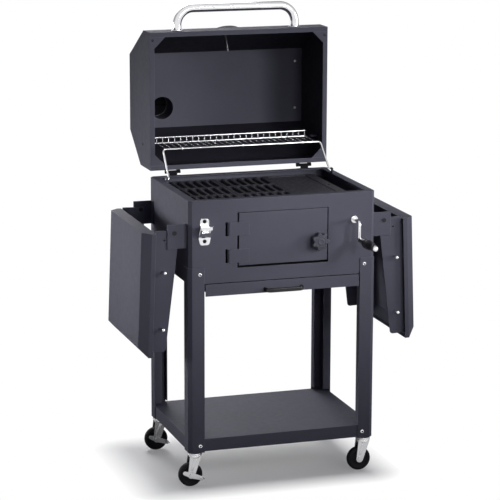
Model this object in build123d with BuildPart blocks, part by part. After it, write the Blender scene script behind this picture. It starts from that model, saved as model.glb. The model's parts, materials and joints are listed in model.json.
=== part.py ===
from build123d import *
from math import atan, cos, hypot, pi, radians, sin, sqrt, tan
import os

# Trolley charcoal grill: firebox on four legs, hinged lid, folding side tables and swivel casters.
# Millimetres. +Z is up, +X is to the right seen from the front, +Y points to the back.
# The origin is on the floor under the middle of the whole grill, with the lid open.

# Fits
run_gap = 0.06
clear_gap = 0.4
cut_over = 1.0

# Firebox
fire_w = 594.0
fire_d = 437.0
fire_h = 255.0
sheet = 2.0
corner = 10.0
fold_w = 12.0
rim_w = 25.0
ash_ledge_w = 102.0
ash_ledge_d = 73.5

# Frame
caster_h = 110.0
leg_h = 528.0
leg_w = 50.0
leg_sheet = 2.5
leg_lip = 25.0
leg_lip_gap = 8.0
leg_overlap = 49.0
foot_t = 3.0
shelf_rise = 42.0
screw_r = 3.0
screw_len = 8.0
screw_gap = 0.3
screw_head_r = 6.0
screw_tip_r = 4.0
screw_head_h = 3.0
screw_inset = 36.0
upper_screw_up = 30.0
lower_screw_up = 21.0

# Grates
grate_end_gap = 28.5
grate_t = 12.0
grate_drop = 15.0
grate_gap = 1.5
grate_left_gap = 4.0
grate_right_gap = 33.0
grate_edge = 9.0
slot_cols = 6
slot_rows = 3
bar_w = 9.0
rib_w = 11.0
ledge_w = 34.0
ledge_h = 14.0
ledge_notch_gap = 1.5
griddle_hole_r = 6.0
griddle_border = 14.0
griddle_wide_border = 30.0
griddle_recess = 2.0

# Charcoal door
door_open_w = 291.0
door_open_h = 170.5
door_open_down = 41.5
door_gap_left = 5.5
door_gap_right = 3.5
door_gap_top = 2.0
door_gap_bottom = 7.5
door_fold = 10.0
strap_h = 41.0
strap_t = 2.5
strap_lift = 1.0
strap_on_door = 31.0
strap_down = (29.0, 112.0)
door_pin_r = 2.0
door_pin_end = 10.0
door_pin_weld = 8.0
door_pin_out = 31.5
door_knuckle_r = 4.5
hinge_slot_left = 11.5
hinge_slot_right = 7.0
knob_inset = 29.5
knob_down = 98.5
knob_r = 28.0
knob_wave = 3.5
knob_lobes = 7
knob_h = 20.0
knob_edge = 2.5
knob_neck_r = 10.0
knob_neck_h = 9.0
latch_r = 4.0
latch_len = 46.0
latch_w = 14.0
latch_t = 3.0

# Ash drawer
drawer_h = 37.0
drawer_top_gap = 2.0
drawer_side_gap = 3.5
drawer_back_gap = 44.5
drawer_sheet = 1.5
drawer_wall_in = 14.0
drawer_lip = 8.0
drawer_lip_down = 10.0
runner_t = 2.0
pull_w = 125.0
pull_down = 26.0
pull_out = 28.0
pull_bar_h = 13.0
pull_bar_t = 8.0
pull_edge = 3.0
pull_bend = 16.0

# Crank and charcoal tray
crank_inset = 68.0
crank_down = 84.0
crank_rod_r = 5.0
crank_out = 47.0
crank_end = 12.0
crank_arm = 55.0
crank_bend = 11.0
crank_boss_r = 7.0
crank_pin_r = 4.0
grip_len = 120.0
grip_small_r = 7.0
grip_big_r = 13.0
grip_belly = 0.75
cap_r = 9.0
bushing_r = 8.0
bushing_flange_r = 11.0
bushing_flange_t = 4.0
gear_module = 2.0
gear_teeth = 18
gear_face = 11.0
gear_side_gap = 0.5
gear_tip = 0.8
gear_root = 1.5
gear_pressure = 20.0
tray_travel = 66.0
tray_side_gap = 42.0
tray_end_gap = 27.5
tray_h = 45.0
tray_sheet = 2.0
tray_foot_h = 8.0
tray_foot_r = 8.0
tray_foot_inset = 20.0
tray_slot_l = 60.0
tray_slot_w = 8.0
tray_slot_cols = 6
tray_slot_rows = 9
tray_slot_border = 60.0
rack_bar_t = 9.0

# Lid, seen open: depth is measured back from its rim, height up from its rear edge
lid_side_in = 2.0
lid_sheet = 1.5
lid_front_face = 74.0
lid_back_face = 119.0
lid_depth = 246.0
lid_slope_h = 96.0
lid_rim = 15.0
gusset = 35.0
hinge_back = 8.0
hinge_up = 9.5
lid_gap = 1.0
hinge_inset = 75.0
hinge_w = 50.0
hinge_mid_w = 26.0
hinge_side_gap = 0.5
hinge_r = 5.0
hinge_pin_r = 2.5
hinge_leaf_t = 2.0
hinge_leaf_down = 35.0
hinge_leaf_clear = 0.4
hinge_strap_l = 40.0
handle_inset = 100.0
handle_r = 13.5
handle_wall = 2.0
handle_rise = 69.5
handle_bend = 52.0
handle_flange_r = 18.5
handle_flange_t = 2.5
thermo_x = -8.0
thermo_down = 62.0
thermo_r = 50.0
thermo_h = 14.0
thermo_edge = 3.0
probe_r = 3.0
probe_len = 56.0
chimney_inset = 108.0
chimney_up = 160.5
chimney_r = 38.5
chimney_wall = 1.5
chimney_len = 120.0
chimney_flange_r = 50.0
chimney_flange_t = 1.5
damper_down = 42.0
damper_gap = 0.8
damper_t = 2.0
damper_rod_r = 2.5
damper_rod_end = 3.0
damper_lever_out = 12.0
damper_lever_h = 30.0
damper_lever_w = 7.0
damper_lever_t = 3.0

# Warming rack, one bar of a parallelogram between the lid and the firebox
link_back = 80.0
link_up = 80.0
rack_depth = 120.0
rack_side_gap = 15.0
rack_rod_r = 3.0
rack_rail_r = 2.5
rack_wire_r = 1.75
rack_wire_border = 7.0
rack_wires = 26
rack_fence_h = 18.0
rack_front_gap = 9.0
rack_eye_in = 57.0
rack_eye_w = 5.0
rack_eye_r = 7.0
rack_eye_gap = 1.0
post_r = 7.0
post_len = 23.5
post_grip = 15.0
bail_r = 3.0
bail_top_in = 10.0
bail_foot_in = 6.0
bail_end_out = 5.0
bail_top_bend = 9.0
bail_foot_bend = 4.0
ear_t = 2.5
ear_w = 20.0
ear_h = 18.0
ear_foot = 7.0

# Side tables, hanging
table_len = 381.0
table_end_gap = 11.5
table_thick = 39.0
table_bevel = 26.0
table_sheet = 2.0
table_lean = 2.1
table_up = 1.0
table_face_out = 98.0
pivot_out = 39.0
pivot_down = 98.0
bracket_t = 3.0
bracket_out = 61.0
bracket_h = 74.0
bracket_up = 26.0
bracket_flange = 20.0
lock_hole_r = 3.0
lock_hole_out = 30.0
lock_hole_down = 23.0
arm_t = 3.0
arm_gap = 1.0
arm_inset = 13.0
arm_out = 70.0
arm_top = 7.0
arm_top_in = 10.0
arm_neck_in = 12.0
arm_neck_down = 49.0
arm_tip_out = 15.0
arm_tip_down = 365.0
arm_round = 9.0
bolt_r = 4.0
bolt_head_r = 6.5
bolt_head_h = 2.5
hook_r = 2.5
hook_ball_r = 5.5
hook_len = 27.0
hook_down = (116.0, 291.0)
hook_out = 31.0

# Casters
stem_inset = 24.5
stem_r = 5.0
stem_up = 18.0
fork_neck_r = 9.0
fork_neck_h = 2.6
fork_disc_r = 22.0
fork_disc_h = 8.0
fork_sheet = 2.5
fork_top_w = 36.0
fork_tip_r = 11.0
wheel_r = 37.5
wheel_w = 22.0
wheel_side_gap = 1.0
wheel_round = 6.0
wheel_dish = 4.0
wheel_hub_r = 11.0
wheel_web_r = 27.0
axle_r = 4.0
axle_head_r = 6.5
axle_head_h = 2.0
caster_trail = 14.0
pedal_t = 2.5
pedal_boss_r = 9.0
pedal_toe = (33.0, -12.0)
pedal_heel = (-22.0, 9.0)
pedal_end_r = 6.0
pedal_tab = 14.0

# Bottle opener
opener_inset = 48.0
opener_top_down = 54.0
opener_tab_w = 28.0
opener_tab_h = 27.0
opener_tab_round = 8.0
opener_screw_down = (62.0, 123.0)
opener_neck_w = 18.0
opener_low_w = 38.0
opener_foot_w = 28.0
opener_low_down = 135.0
opener_round = 8.0
opener_t = 3.0
opener_hood_down = 75.0
opener_hood_out = 25.0
opener_lip_w = 35.0
opener_lip_h = 10.0
opener_chin_down = 113.0
opener_mouth_w = 26.0
opener_mouth_h = 10.0
opener_mouth_wall = 6.0
opener_tooth_w = 8.0
opener_tooth_h = 3.0
opener_tooth_out = 15.0

# Places that follow from the sizes above
fire_z = caster_h + leg_h
top_z = fire_z + fire_h
half_w = fire_w / 2
crank_reach = crank_out + crank_rod_r + 2 * clear_gap + grip_len + 2 * cap_r
lid_reach = hinge_back - hinge_up + lid_gap + lid_depth + chimney_len
mid_y = (crank_reach - lid_reach) / 2
front_y = mid_y - fire_d / 2
back_y = mid_y + fire_d / 2
leg_x = half_w + leg_sheet
leg_front_y = front_y - leg_sheet
leg_half_y = fire_d / 2 + leg_sheet
shelf_z = caster_h + shelf_rise
shelf_lip_z = caster_h + foot_t
ash_open_w = fire_w - 2 * ash_ledge_w
ash_open_d = fire_d - 2 * ash_ledge_d
grate_w = (fire_w - 2 * rim_w - grate_left_gap - grate_right_gap - 2 * grate_gap) / 3
grate_d = fire_d - 2 * grate_end_gap
grate_z = top_z - grate_drop
ledge_z = grate_z - grate_t
hinge_y = back_y + hinge_back
hinge_z = top_z + hinge_up
rim_y = hinge_y - hinge_up + lid_gap
lid_z = hinge_z + hinge_back
lid_top_y = rim_y + lid_depth
lid_w = fire_w - 2 * lid_side_in
lid_inner_x = lid_w / 2 - lid_sheet
hinge_x = lid_w / 2 - hinge_inset
handle_x = lid_w / 2 - handle_inset
chimney_x = chimney_inset - lid_w / 2
chimney_z = lid_z + chimney_up
chimney_in_r = chimney_r - chimney_wall
damper_y = lid_top_y + chimney_len - damper_down
rack_y = hinge_y + link_back
rack_z = hinge_z + link_up
bail_y = rack_y - rack_depth
bail_foot_y = bail_y - link_back
bail_foot_z = rack_z - link_up
ear_x = half_w - rim_w
rack_half_w = ear_x - rack_side_gap
rack_wire_pitch = 2 * (rack_half_w - rack_wire_border) / (rack_wires - 1)
rack_eye_x = rack_half_w - rack_eye_in
bail_top_x = ear_x - bail_top_in
bail_foot_x = ear_x - bail_foot_in
bail_end_x = ear_x + bail_end_out
drawer_depth = fire_d + leg_sheet - drawer_back_gap
crank_x = half_w - crank_inset
crank_z = top_z - crank_down
grip_z = crank_z - crank_arm
arm_y = front_y - crank_out
gear_r = gear_module * gear_teeth / 2
tooth_pitch = gear_module * pi
gear_rack_x = crank_x - gear_r
rack_bar_x = gear_rack_x - gear_module * gear_root - rack_bar_t
tray_w = fire_w - 2 * tray_side_gap
tray_d = fire_d - 2 * tray_end_gap
tray_z = fire_z + sheet + clear_gap + tray_foot_h
pivot_x = half_w + pivot_out
pivot_z = top_z - pivot_down
table_width = fire_d - 2 * table_end_gap
table_arm_y = table_width / 2 - table_sheet - arm_inset
bracket_y = table_arm_y + arm_gap
table_in = table_face_out - table_thick
stem_x = leg_x - stem_inset
stem_y = leg_half_y - stem_inset
fork_z = caster_h - clear_gap - fork_neck_h
fork_in = wheel_w / 2 + wheel_side_gap
fork_out = fork_in + fork_sheet
opener_x = opener_inset - half_w

os.makedirs("parts", exist_ok=True)


def save(piece, name):
    """Label a finished piece and write it."""
    piece.label = name
    export_step(piece, f"parts/{name}.step")


def block(low, high, mode=Mode.ADD):
    """Box between two opposite corners, in the part being built."""
    size = [abs(b - a) for a, b in zip(low, high)]
    with Locations([tuple((a + b) / 2 for a, b in zip(low, high))]):
        Box(*size, mode=mode)


def rod(start, end, radius, mode=Mode.ADD):
    """Round bar between two points, in the part being built."""
    start = Vector(*start)
    end = Vector(*end)
    with Locations(Plane(origin=(start + end) * 0.5, z_dir=end - start)):
        Cylinder(radius, (end - start).length, mode=mode)


def bent_sheet(path, thickness):
    """Closed outline of a bent sheet whose outer face follows the path, with its metal to the left of it."""
    sides = []
    for (ax, ay), (bx, by) in zip(path, path[1:]):
        length = hypot(bx - ax, by - ay)
        sides.append(((ay - by) / length, (bx - ax) / length))
    inner = []
    for i, (x, y) in enumerate(path):
        px, py = sides[max(i - 1, 0)]
        qx, qy = sides[min(i, len(sides) - 1)]
        grow = thickness / (1 + px * qx + py * qy)
        inner.append((x + grow * (px + qx), y + grow * (py + qy)))
    return path + inner[::-1]


def cut_rectangle(inset):
    """Outline of the firebox in plan, moved inwards, with its four corners cut off."""
    half = half_w - inset
    low = front_y + inset
    high = back_y - inset
    cut = corner - inset * (2 - sqrt(2))
    return [
        (-half + cut, low), (half - cut, low), (half, low + cut), (half, high - cut),
        (half - cut, high), (-half + cut, high), (-half, high - cut), (-half, low + cut),
    ]


# Screws: one kind holds the legs to the firebox and the shelf, and the opener to the front
screw_planes = []
for side in (-1, 1):
    for end in (-1, 1):
        for height in (fire_z + upper_screw_up, caster_h + lower_screw_up):
            end_face = mid_y + end * leg_half_y
            screw_planes.append(Plane((side * (leg_x - screw_inset), end_face, height), z_dir=(0, end, 0)))
for down in opener_screw_down:
    screw_planes.append(Plane((opener_x, front_y - opener_t, top_z - down), z_dir=(0, -1, 0)))


def drill():
    """Holes for every screw that meets the part being built."""
    with Locations(*screw_planes):
        Cylinder(screw_r + screw_gap, 2 * screw_len, mode=Mode.SUBTRACT)


with BuildPart() as frame_screws:
    with Locations(*screw_planes):
        Cylinder(screw_r, screw_len, align=(Align.CENTER, Align.CENTER, Align.MAX))
        Cone(screw_head_r, screw_tip_r, screw_head_h, align=(Align.CENTER, Align.CENTER, Align.MIN))
save(frame_screws.part, "frame_screws")


# Firebox: the front and back panels fold round the corners, the side walls stand between them
def end_panel(face_y, inward):
    """Front or back panel with its folded corners and its part of the top rim."""
    face = [(-half_w, face_y + inward * corner), (-half_w + corner, face_y),
            (half_w - corner, face_y), (half_w, face_y + inward * corner)]
    fold_y = face_y + inward * (corner + fold_w)
    folded = [(-half_w, fold_y), *face, (half_w, fold_y)]
    rim = [(-half_w, face_y + inward * rim_w), *face, (half_w, face_y + inward * rim_w)]
    with BuildPart() as panel:
        with BuildSketch(Plane.XY.offset(fire_z)):
            Polygon(*bent_sheet(folded[::inward], sheet), align=None)
        extrude(amount=fire_h - sheet)
        with BuildSketch(Plane.XY.offset(top_z - sheet)):
            Polygon(*rim[::inward], align=None)
        extrude(amount=sheet)
        drill()
        rod((crank_x, face_y - inward * cut_over, crank_z),
            (crank_x, face_y + inward * (sheet + cut_over), crank_z), bushing_r, Mode.SUBTRACT)
    return panel.part


door_x0 = -door_open_w / 2 + door_gap_left
door_x1 = door_open_w / 2 - door_gap_right
door_open_z = top_z - door_open_down
door_z0 = door_open_z - door_open_h + door_gap_bottom
door_z1 = door_open_z - door_gap_top
door_pin_x = door_x0 - door_pin_out
door_pin_y = front_y + sheet + door_pin_r
strap_zs = [door_open_z - down - strap_h for down in strap_down]

front_blank = end_panel(front_y, 1)
with BuildPart() as front_panel:
    add(front_blank)
    block((-door_open_w / 2, front_y - cut_over, door_open_z - door_open_h),
          (door_open_w / 2, front_y + sheet + cut_over, door_open_z), Mode.SUBTRACT)
    for low_z in strap_zs:
        block((door_pin_x - hinge_slot_left, front_y - cut_over, low_z - cut_over),
              (door_pin_x + hinge_slot_right, front_y + sheet + cut_over, low_z + strap_h + cut_over),
              Mode.SUBTRACT)
save(front_panel.part, "front_panel")
save(end_panel(back_y, -1), "back_panel")


def side_wall(side):
    """Left (-1) or right (1) wall of the firebox with its part of the top rim."""
    with BuildPart() as wall:
        block((side * half_w, front_y + corner + fold_w, fire_z),
              (side * (half_w - sheet), back_y - corner - fold_w, top_z - sheet))
        block((side * half_w, front_y + rim_w, top_z - sheet),
              (side * (half_w - rim_w), back_y - rim_w, top_z))
        drill()
    return wall.part


save(side_wall(-1), "left_wall")
save(side_wall(1), "right_wall")

with BuildPart() as firebox_floor:
    with BuildSketch(Plane.XY.offset(fire_z)):
        Polygon(*cut_rectangle(sheet), align=None)
        with Locations((0, mid_y)):
            Rectangle(ash_open_w, ash_open_d, mode=Mode.SUBTRACT)
    extrude(amount=sheet)
save(firebox_floor.part, "firebox_floor")


# Legs: bent angles outside the firebox, with return lips between shelf and firebox and a foot plate
def leg(side, end):
    """Leg at side -1 (left) or 1 (right) and end -1 (front) or 1 (back)."""
    corner_x = side * leg_x
    corner_y = mid_y + end * leg_half_y
    cut = corner + leg_sheet * (2 - sqrt(2))
    inside = leg_sheet + corner

    def place(points):
        return [(corner_x - side * a, corner_y - end * b) for a, b in points][::side * end]

    angle = [(0, leg_w), (0, cut), (cut, 0), (leg_w, 0)]
    lipped = [(leg_lip, leg_w), *angle, (leg_w, leg_lip)]
    foot = [(leg_sheet, leg_w), (leg_sheet, inside), (inside, leg_sheet), (leg_w, leg_sheet), (leg_w, leg_w)]
    with BuildPart() as piece:
        with BuildSketch(Plane.XY.offset(caster_h)):
            Polygon(*bent_sheet(place(angle), leg_sheet), align=None)
        extrude(amount=leg_h + leg_overlap)
        with BuildSketch(Plane.XY.offset(shelf_z + leg_lip_gap)):
            Polygon(*bent_sheet(place(lipped), leg_sheet), align=None)
        extrude(amount=fire_z - sheet - shelf_z - leg_lip_gap)
        with BuildSketch(Plane.XY.offset(caster_h)):
            Polygon(*place(foot), align=None)
            with Locations(*place([(stem_inset, stem_inset)])):
                Circle(stem_r + run_gap, mode=Mode.SUBTRACT)
        extrude(amount=foot_t)
        drill()
    return piece.part


with BuildPart() as lower_shelf:
    with BuildSketch(Plane.XY.offset(shelf_lip_z)):
        Polygon(*cut_rectangle(0), align=None)
    extrude(amount=shelf_z - shelf_lip_z)
    with BuildSketch(Plane.XY.offset(shelf_lip_z)):
        Polygon(*cut_rectangle(sheet), align=None)
    extrude(amount=shelf_z - shelf_lip_z - sheet, mode=Mode.SUBTRACT)
    drill()
save(lower_shelf.part, "lower_shelf")

# Grates: ledges on the front and back walls, two slotted cast grates and a griddle plate
grate_x = -half_w + rim_w + grate_left_gap
ledge_spans = [
    (-half_w + sheet + corner, rack_bar_x - ledge_notch_gap),
    (gear_rack_x + gear_module * gear_tip + ledge_notch_gap, half_w - sheet - corner),
]
with BuildPart() as grate_supports:
    for low_x, high_x in ledge_spans:
        for wall, inward in ((front_y + sheet, 1), (back_y - sheet, -1)):
            block((low_x, wall, ledge_z - sheet), (high_x, wall + inward * ledge_w, ledge_z))
            block((low_x, wall, ledge_z - ledge_h), (high_x, wall + inward * sheet, ledge_z))
save(grate_supports.part, "grate_supports")


def grate(index):
    """Slotted cast grate, counted from the left."""
    low_x = grate_x + index * (grate_w + grate_gap)
    slot_w = (grate_w - 2 * grate_edge - (slot_cols - 1) * bar_w) / slot_cols
    slot_l = (grate_d - 2 * grate_edge - (slot_rows - 1) * rib_w) / slot_rows
    with BuildPart() as casting:
        block((low_x, mid_y - grate_d / 2, ledge_z), (low_x + grate_w, mid_y + grate_d / 2, grate_z))
        with BuildSketch(Plane.XY.offset(ledge_z)):
            with Locations((low_x + grate_w / 2, mid_y)):
                with GridLocations(slot_w + bar_w, slot_l + rib_w, slot_cols, slot_rows):
                    SlotOverall(slot_l, slot_w, rotation=90)
        extrude(amount=grate_t, mode=Mode.SUBTRACT)
    return casting.part


save(grate(0), "grate_left")
save(grate(1), "grate_middle")

griddle_x = grate_x + 2 * (grate_w + grate_gap)
hole_x = griddle_x + grate_w - griddle_wide_border / 2
with BuildPart() as griddle_plate:
    block((griddle_x, mid_y - grate_d / 2, ledge_z), (griddle_x + grate_w, mid_y + grate_d / 2, grate_z))
    block((griddle_x + griddle_border, mid_y - grate_d / 2 + griddle_border, grate_z - griddle_recess),
          (griddle_x + grate_w - griddle_wide_border, mid_y + grate_d / 2 - griddle_border, grate_z),
          Mode.SUBTRACT)
    rod((hole_x, mid_y, ledge_z - cut_over), (hole_x, mid_y, grate_z + cut_over),
        griddle_hole_r, Mode.SUBTRACT)
save(griddle_plate.part, "griddle_plate")

# Charcoal door: flat panel with folded top and bottom edges, hung on two straps
knob_x = door_x1 - knob_inset
knob_z = door_z1 - knob_down
with BuildPart() as door_panel:
    block((door_x0, front_y, door_z0), (door_x1, front_y + sheet, door_z1))
    for edge_z, inward in ((door_z0, 1), (door_z1, -1)):
        block((door_x0, front_y, edge_z), (door_x1, front_y + door_fold, edge_z + inward * sheet))
    rod((knob_x, front_y - cut_over, knob_z), (knob_x, front_y + sheet + cut_over, knob_z),
        latch_r + run_gap, Mode.SUBTRACT)
save(door_panel.part, "door_panel")

strap_x1 = door_x0 + strap_on_door
strap_y = front_y - strap_lift - strap_t
with BuildPart() as door_straps:
    for low_z in strap_zs:
        high_z = low_z + strap_h
        block((door_pin_x, strap_y, low_z), (strap_x1, strap_y + strap_t, high_z))
        block((door_x0, strap_y, low_z), (strap_x1, front_y, high_z))
        block((door_pin_x, strap_y, low_z), (door_pin_x + door_knuckle_r, door_pin_y, high_z))
        rod((door_pin_x, door_pin_y, low_z), (door_pin_x, door_pin_y, high_z), door_knuckle_r)
        rod((door_pin_x, door_pin_y, low_z - cut_over), (door_pin_x, door_pin_y, high_z + cut_over),
            door_pin_r + run_gap, Mode.SUBTRACT)
save(door_straps.part, "door_straps")

with BuildPart() as door_hinge_pins:
    for low_z in strap_zs:
        pin_z0 = low_z - door_pin_end
        pin_z1 = low_z + strap_h + door_pin_end
        rod((door_pin_x, door_pin_y, pin_z0), (door_pin_x, door_pin_y, pin_z1), door_pin_r)
        for end_z, inward in ((pin_z0, 1), (pin_z1, -1)):
            block((door_pin_x - door_pin_r, front_y + sheet, end_z),
                  (door_pin_x + door_pin_r, door_pin_y, end_z + inward * door_pin_weld))
save(door_hinge_pins.part, "door_hinge_pins")

knob_y = front_y - clear_gap
knob_plane = Plane((knob_x, knob_y, knob_z), x_dir=(1, 0, 0), z_dir=(0, -1, 0))
knob_points = []
for i in range(8 * knob_lobes):
    turn = 2 * pi * i / (8 * knob_lobes)
    reach = knob_r - knob_wave + knob_wave * cos(knob_lobes * turn)
    knob_points.append((reach * cos(turn), reach * sin(turn)))
with BuildPart() as door_knob:
    with BuildSketch(knob_plane):
        Circle(knob_neck_r)
    extrude(amount=knob_neck_h)
    with BuildSketch(knob_plane.offset(knob_neck_h)):
        with BuildLine():
            Spline(*knob_points, periodic=True)
        make_face()
    extrude(amount=knob_h)
    fillet(door_knob.faces().sort_by(Axis.Y)[0].edges(), knob_edge)
save(door_knob.part, "door_knob")

latch_y = front_y + sheet + clear_gap
with BuildPart() as latch_tongue:
    rod((knob_x, knob_y, knob_z), (knob_x, latch_y, knob_z), latch_r)
    with BuildSketch(Plane((knob_x, latch_y, knob_z), x_dir=(-1, 0, 0), z_dir=(0, 1, 0))):
        with Locations((0, -(latch_len - latch_w) / 2)):
            SlotOverall(latch_len, latch_w, rotation=90)
    extrude(amount=latch_t)
save(latch_tongue.part, "latch_tongue")

# Ash drawer under the firebox floor, on two hanging runners
drawer_z1 = fire_z - drawer_top_gap
drawer_z0 = drawer_z1 - drawer_h
drawer_half = leg_x - leg_w - drawer_side_gap
pan_half = drawer_half - drawer_wall_in
pan_z0 = drawer_z0 + sheet
pan_z1 = drawer_z1 - drawer_lip_down
pan_y0 = leg_front_y + sheet
pan_y1 = leg_front_y + drawer_depth
with BuildPart() as ash_drawer:
    block((-drawer_half, leg_front_y, drawer_z0), (drawer_half, pan_y0, drawer_z1))
    block((-pan_half, pan_y0, pan_z0), (pan_half, pan_y1, pan_z1))
    block((-pan_half - drawer_lip, pan_y0, pan_z1 - drawer_sheet), (pan_half + drawer_lip, pan_y1, pan_z1))
    block((-pan_half + drawer_sheet, pan_y0, pan_z0 + drawer_sheet),
          (pan_half - drawer_sheet, pan_y1 - drawer_sheet, pan_z1 + cut_over), Mode.SUBTRACT)
save(ash_drawer.part, "ash_drawer")

runner_y = front_y + leg_lip
runner_z = pan_z1 - drawer_sheet - clear_gap
runner_x = pan_half + drawer_lip + clear_gap
with BuildPart() as drawer_runners:
    for side in (-1, 1):
        block((side * runner_x, runner_y, runner_z - runner_t),
              (side * (runner_x + runner_t), pan_y1, fire_z))
        block((side * (pan_half + clear_gap), runner_y, runner_z - runner_t),
              (side * runner_x, pan_y1, runner_z))
save(drawer_runners.part, "drawer_runners")

pull_z = drawer_z1 - pull_down
pull_half = (pull_w - pull_bar_t) / 2
pull_y = leg_front_y - pull_out + pull_bar_t / 2
with BuildPart() as drawer_handle:
    with BuildLine():
        pull_path = FilletPolyline(
            (-pull_half, leg_front_y, pull_z), (-pull_half, pull_y, pull_z),
            (pull_half, pull_y, pull_z), (pull_half, leg_front_y, pull_z), radius=pull_bend)
    with BuildSketch(Plane((-pull_half, leg_front_y, pull_z), x_dir=(1, 0, 0), z_dir=(0, -1, 0))):
        RectangleRounded(pull_bar_t, pull_bar_h, pull_edge)
    sweep(path=pull_path)
save(drawer_handle.part, "drawer_handle")


# Crank: a bent rod through both end panels with a pinion at each end, lifting the tray by two gear racks
def tooth_angle(radius):
    """Angle that a pinion tooth spans at a radius, from the involute of its base circle."""
    pressure = radians(gear_pressure)
    roll = sqrt(max((radius / (gear_r * cos(pressure))) ** 2 - 1, 0))
    flank = (tan(pressure) - pressure) - (roll - atan(roll))
    return pi / gear_teeth - gear_side_gap / gear_r + 2 * flank


pinion_radii = [
    gear_r - gear_module * gear_root, gear_r * cos(radians(gear_pressure)),
    gear_r, gear_r + gear_module * gear_tip,
]
pinion_points = []
for tooth in range(gear_teeth):
    middle = pi + (2 * tooth + 1) * pi / gear_teeth
    for radius in pinion_radii:
        angle = middle - tooth_angle(radius) / 2
        pinion_points.append((radius * cos(angle), radius * sin(angle)))
    for radius in pinion_radii[::-1]:
        angle = middle + tooth_angle(radius) / 2
        pinion_points.append((radius * cos(angle), radius * sin(angle)))

gear_ys = (mid_y - tray_d / 2, mid_y + tray_d / 2 + gear_face)
with BuildPart() as crank_pinions:
    for gear_y in gear_ys:
        with BuildSketch(Plane((crank_x, gear_y, crank_z), x_dir=(1, 0, 0), z_dir=(0, -1, 0))):
            Polygon(*pinion_points, align=None)
            Circle(crank_rod_r, mode=Mode.SUBTRACT)
        extrude(amount=gear_face)
save(crank_pinions.part, "crank_pinions")

grip_y0 = arm_y - crank_rod_r - clear_gap
grip_y1 = grip_y0 - grip_len
cap_y = grip_y1 - clear_gap - cap_r
with BuildPart() as crank_rod:
    with BuildLine():
        crank_path = FilletPolyline(
            (crank_x, back_y + crank_end, crank_z), (crank_x, arm_y, crank_z), (crank_x, arm_y, grip_z),
            radius=crank_bend)
    with BuildSketch(Plane((crank_x, back_y + crank_end, crank_z), x_dir=(1, 0, 0), z_dir=(0, -1, 0))):
        Circle(crank_rod_r)
    sweep(path=crank_path)
    rod((crank_x, arm_y + crank_rod_r, grip_z), (crank_x, arm_y - crank_rod_r, grip_z), crank_boss_r)
    rod((crank_x, arm_y, grip_z), (crank_x, cap_y, grip_z), crank_pin_r)
    with Locations((crank_x, cap_y, grip_z)):
        Sphere(cap_r)
save(crank_rod.part, "crank_rod")

grip_bore = crank_pin_r + run_gap
with BuildPart() as crank_grip:
    with BuildSketch(Plane((crank_x, grip_y0, grip_z), x_dir=(0, -1, 0), z_dir=(1, 0, 0))):
        with BuildLine():
            Polyline((0, grip_small_r), (0, grip_bore), (grip_len, grip_bore), (grip_len, grip_small_r))
            Spline((0, grip_small_r), (grip_len * grip_belly, grip_big_r), (grip_len, grip_small_r))
        make_face()
    revolve(axis=Axis((crank_x, grip_y0, grip_z), (0, 1, 0)))
save(crank_grip.part, "crank_grip")

with BuildPart() as crank_bushings:
    for face_y, inward in ((front_y, 1), (back_y, -1)):
        rod((crank_x, face_y, crank_z), (crank_x, face_y + inward * sheet, crank_z), bushing_r)
        rod((crank_x, face_y, crank_z), (crank_x, face_y - inward * bushing_flange_t, crank_z),
            bushing_flange_r)
        rod((crank_x, face_y + inward * (sheet + cut_over), crank_z),
            (crank_x, face_y - inward * (bushing_flange_t + cut_over), crank_z),
            crank_rod_r + run_gap, Mode.SUBTRACT)
save(crank_bushings.part, "crank_bushings")

# Charcoal tray with slotted bottom, feet and a gear rack on its front and back
tray_top = tray_z + tray_h
tray_half_y = tray_d / 2
slot_dx = (tray_w - 2 * tray_slot_border) / (tray_slot_cols - 1)
slot_dy = (tray_d - 2 * tray_slot_border) / (tray_slot_rows - 1)
with BuildPart() as coal_tray:
    block((-tray_w / 2, mid_y - tray_half_y, tray_z), (tray_w / 2, mid_y + tray_half_y, tray_top))
    block((-tray_w / 2 + tray_sheet, mid_y - tray_half_y + tray_sheet, tray_z + tray_sheet),
          (tray_w / 2 - tray_sheet, mid_y + tray_half_y - tray_sheet, tray_top + cut_over), Mode.SUBTRACT)
    with BuildSketch(Plane.XY.offset(tray_z)):
        with Locations((0, mid_y)):
            with GridLocations(slot_dx, slot_dy, tray_slot_cols, tray_slot_rows):
                SlotOverall(tray_slot_l, tray_slot_w)
    extrude(amount=tray_sheet, mode=Mode.SUBTRACT)
    for side in (-1, 1):
        for end in (-1, 1):
            foot_x = side * (tray_w / 2 - tray_foot_inset)
            foot_y = mid_y + end * (tray_half_y - tray_foot_inset)
            rod((foot_x, foot_y, tray_z - tray_foot_h), (foot_x, foot_y, tray_z), tray_foot_r)
save(coal_tray.part, "coal_tray")

flank_run = tan(radians(gear_pressure))
tooth_half = (tooth_pitch - gear_side_gap) / 4
tip_out = gear_module * gear_tip
root_in = gear_module * gear_root
rack_teeth = round(tray_travel / tooth_pitch) + 4
rack_points = [(rack_bar_x, tray_z), (gear_rack_x - root_in, tray_z)]
for tooth in range(rack_teeth):
    middle = crank_z + (tooth - rack_teeth + 2) * tooth_pitch
    rack_points.append((gear_rack_x - root_in, middle - tooth_half - root_in * flank_run))
    rack_points.append((gear_rack_x + tip_out, middle - tooth_half + tip_out * flank_run))
    rack_points.append((gear_rack_x + tip_out, middle + tooth_half - tip_out * flank_run))
    rack_points.append((gear_rack_x - root_in, middle + tooth_half + root_in * flank_run))
rack_points.append((rack_bar_x, rack_points[-1][1]))
with BuildPart() as tray_racks:
    for gear_y in gear_ys:
        with BuildSketch(Plane((0, gear_y, 0), x_dir=(1, 0, 0), z_dir=(0, -1, 0))):
            Polygon(*rack_points, align=None)
        extrude(amount=gear_face)
save(tray_racks.part, "tray_racks")


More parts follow.
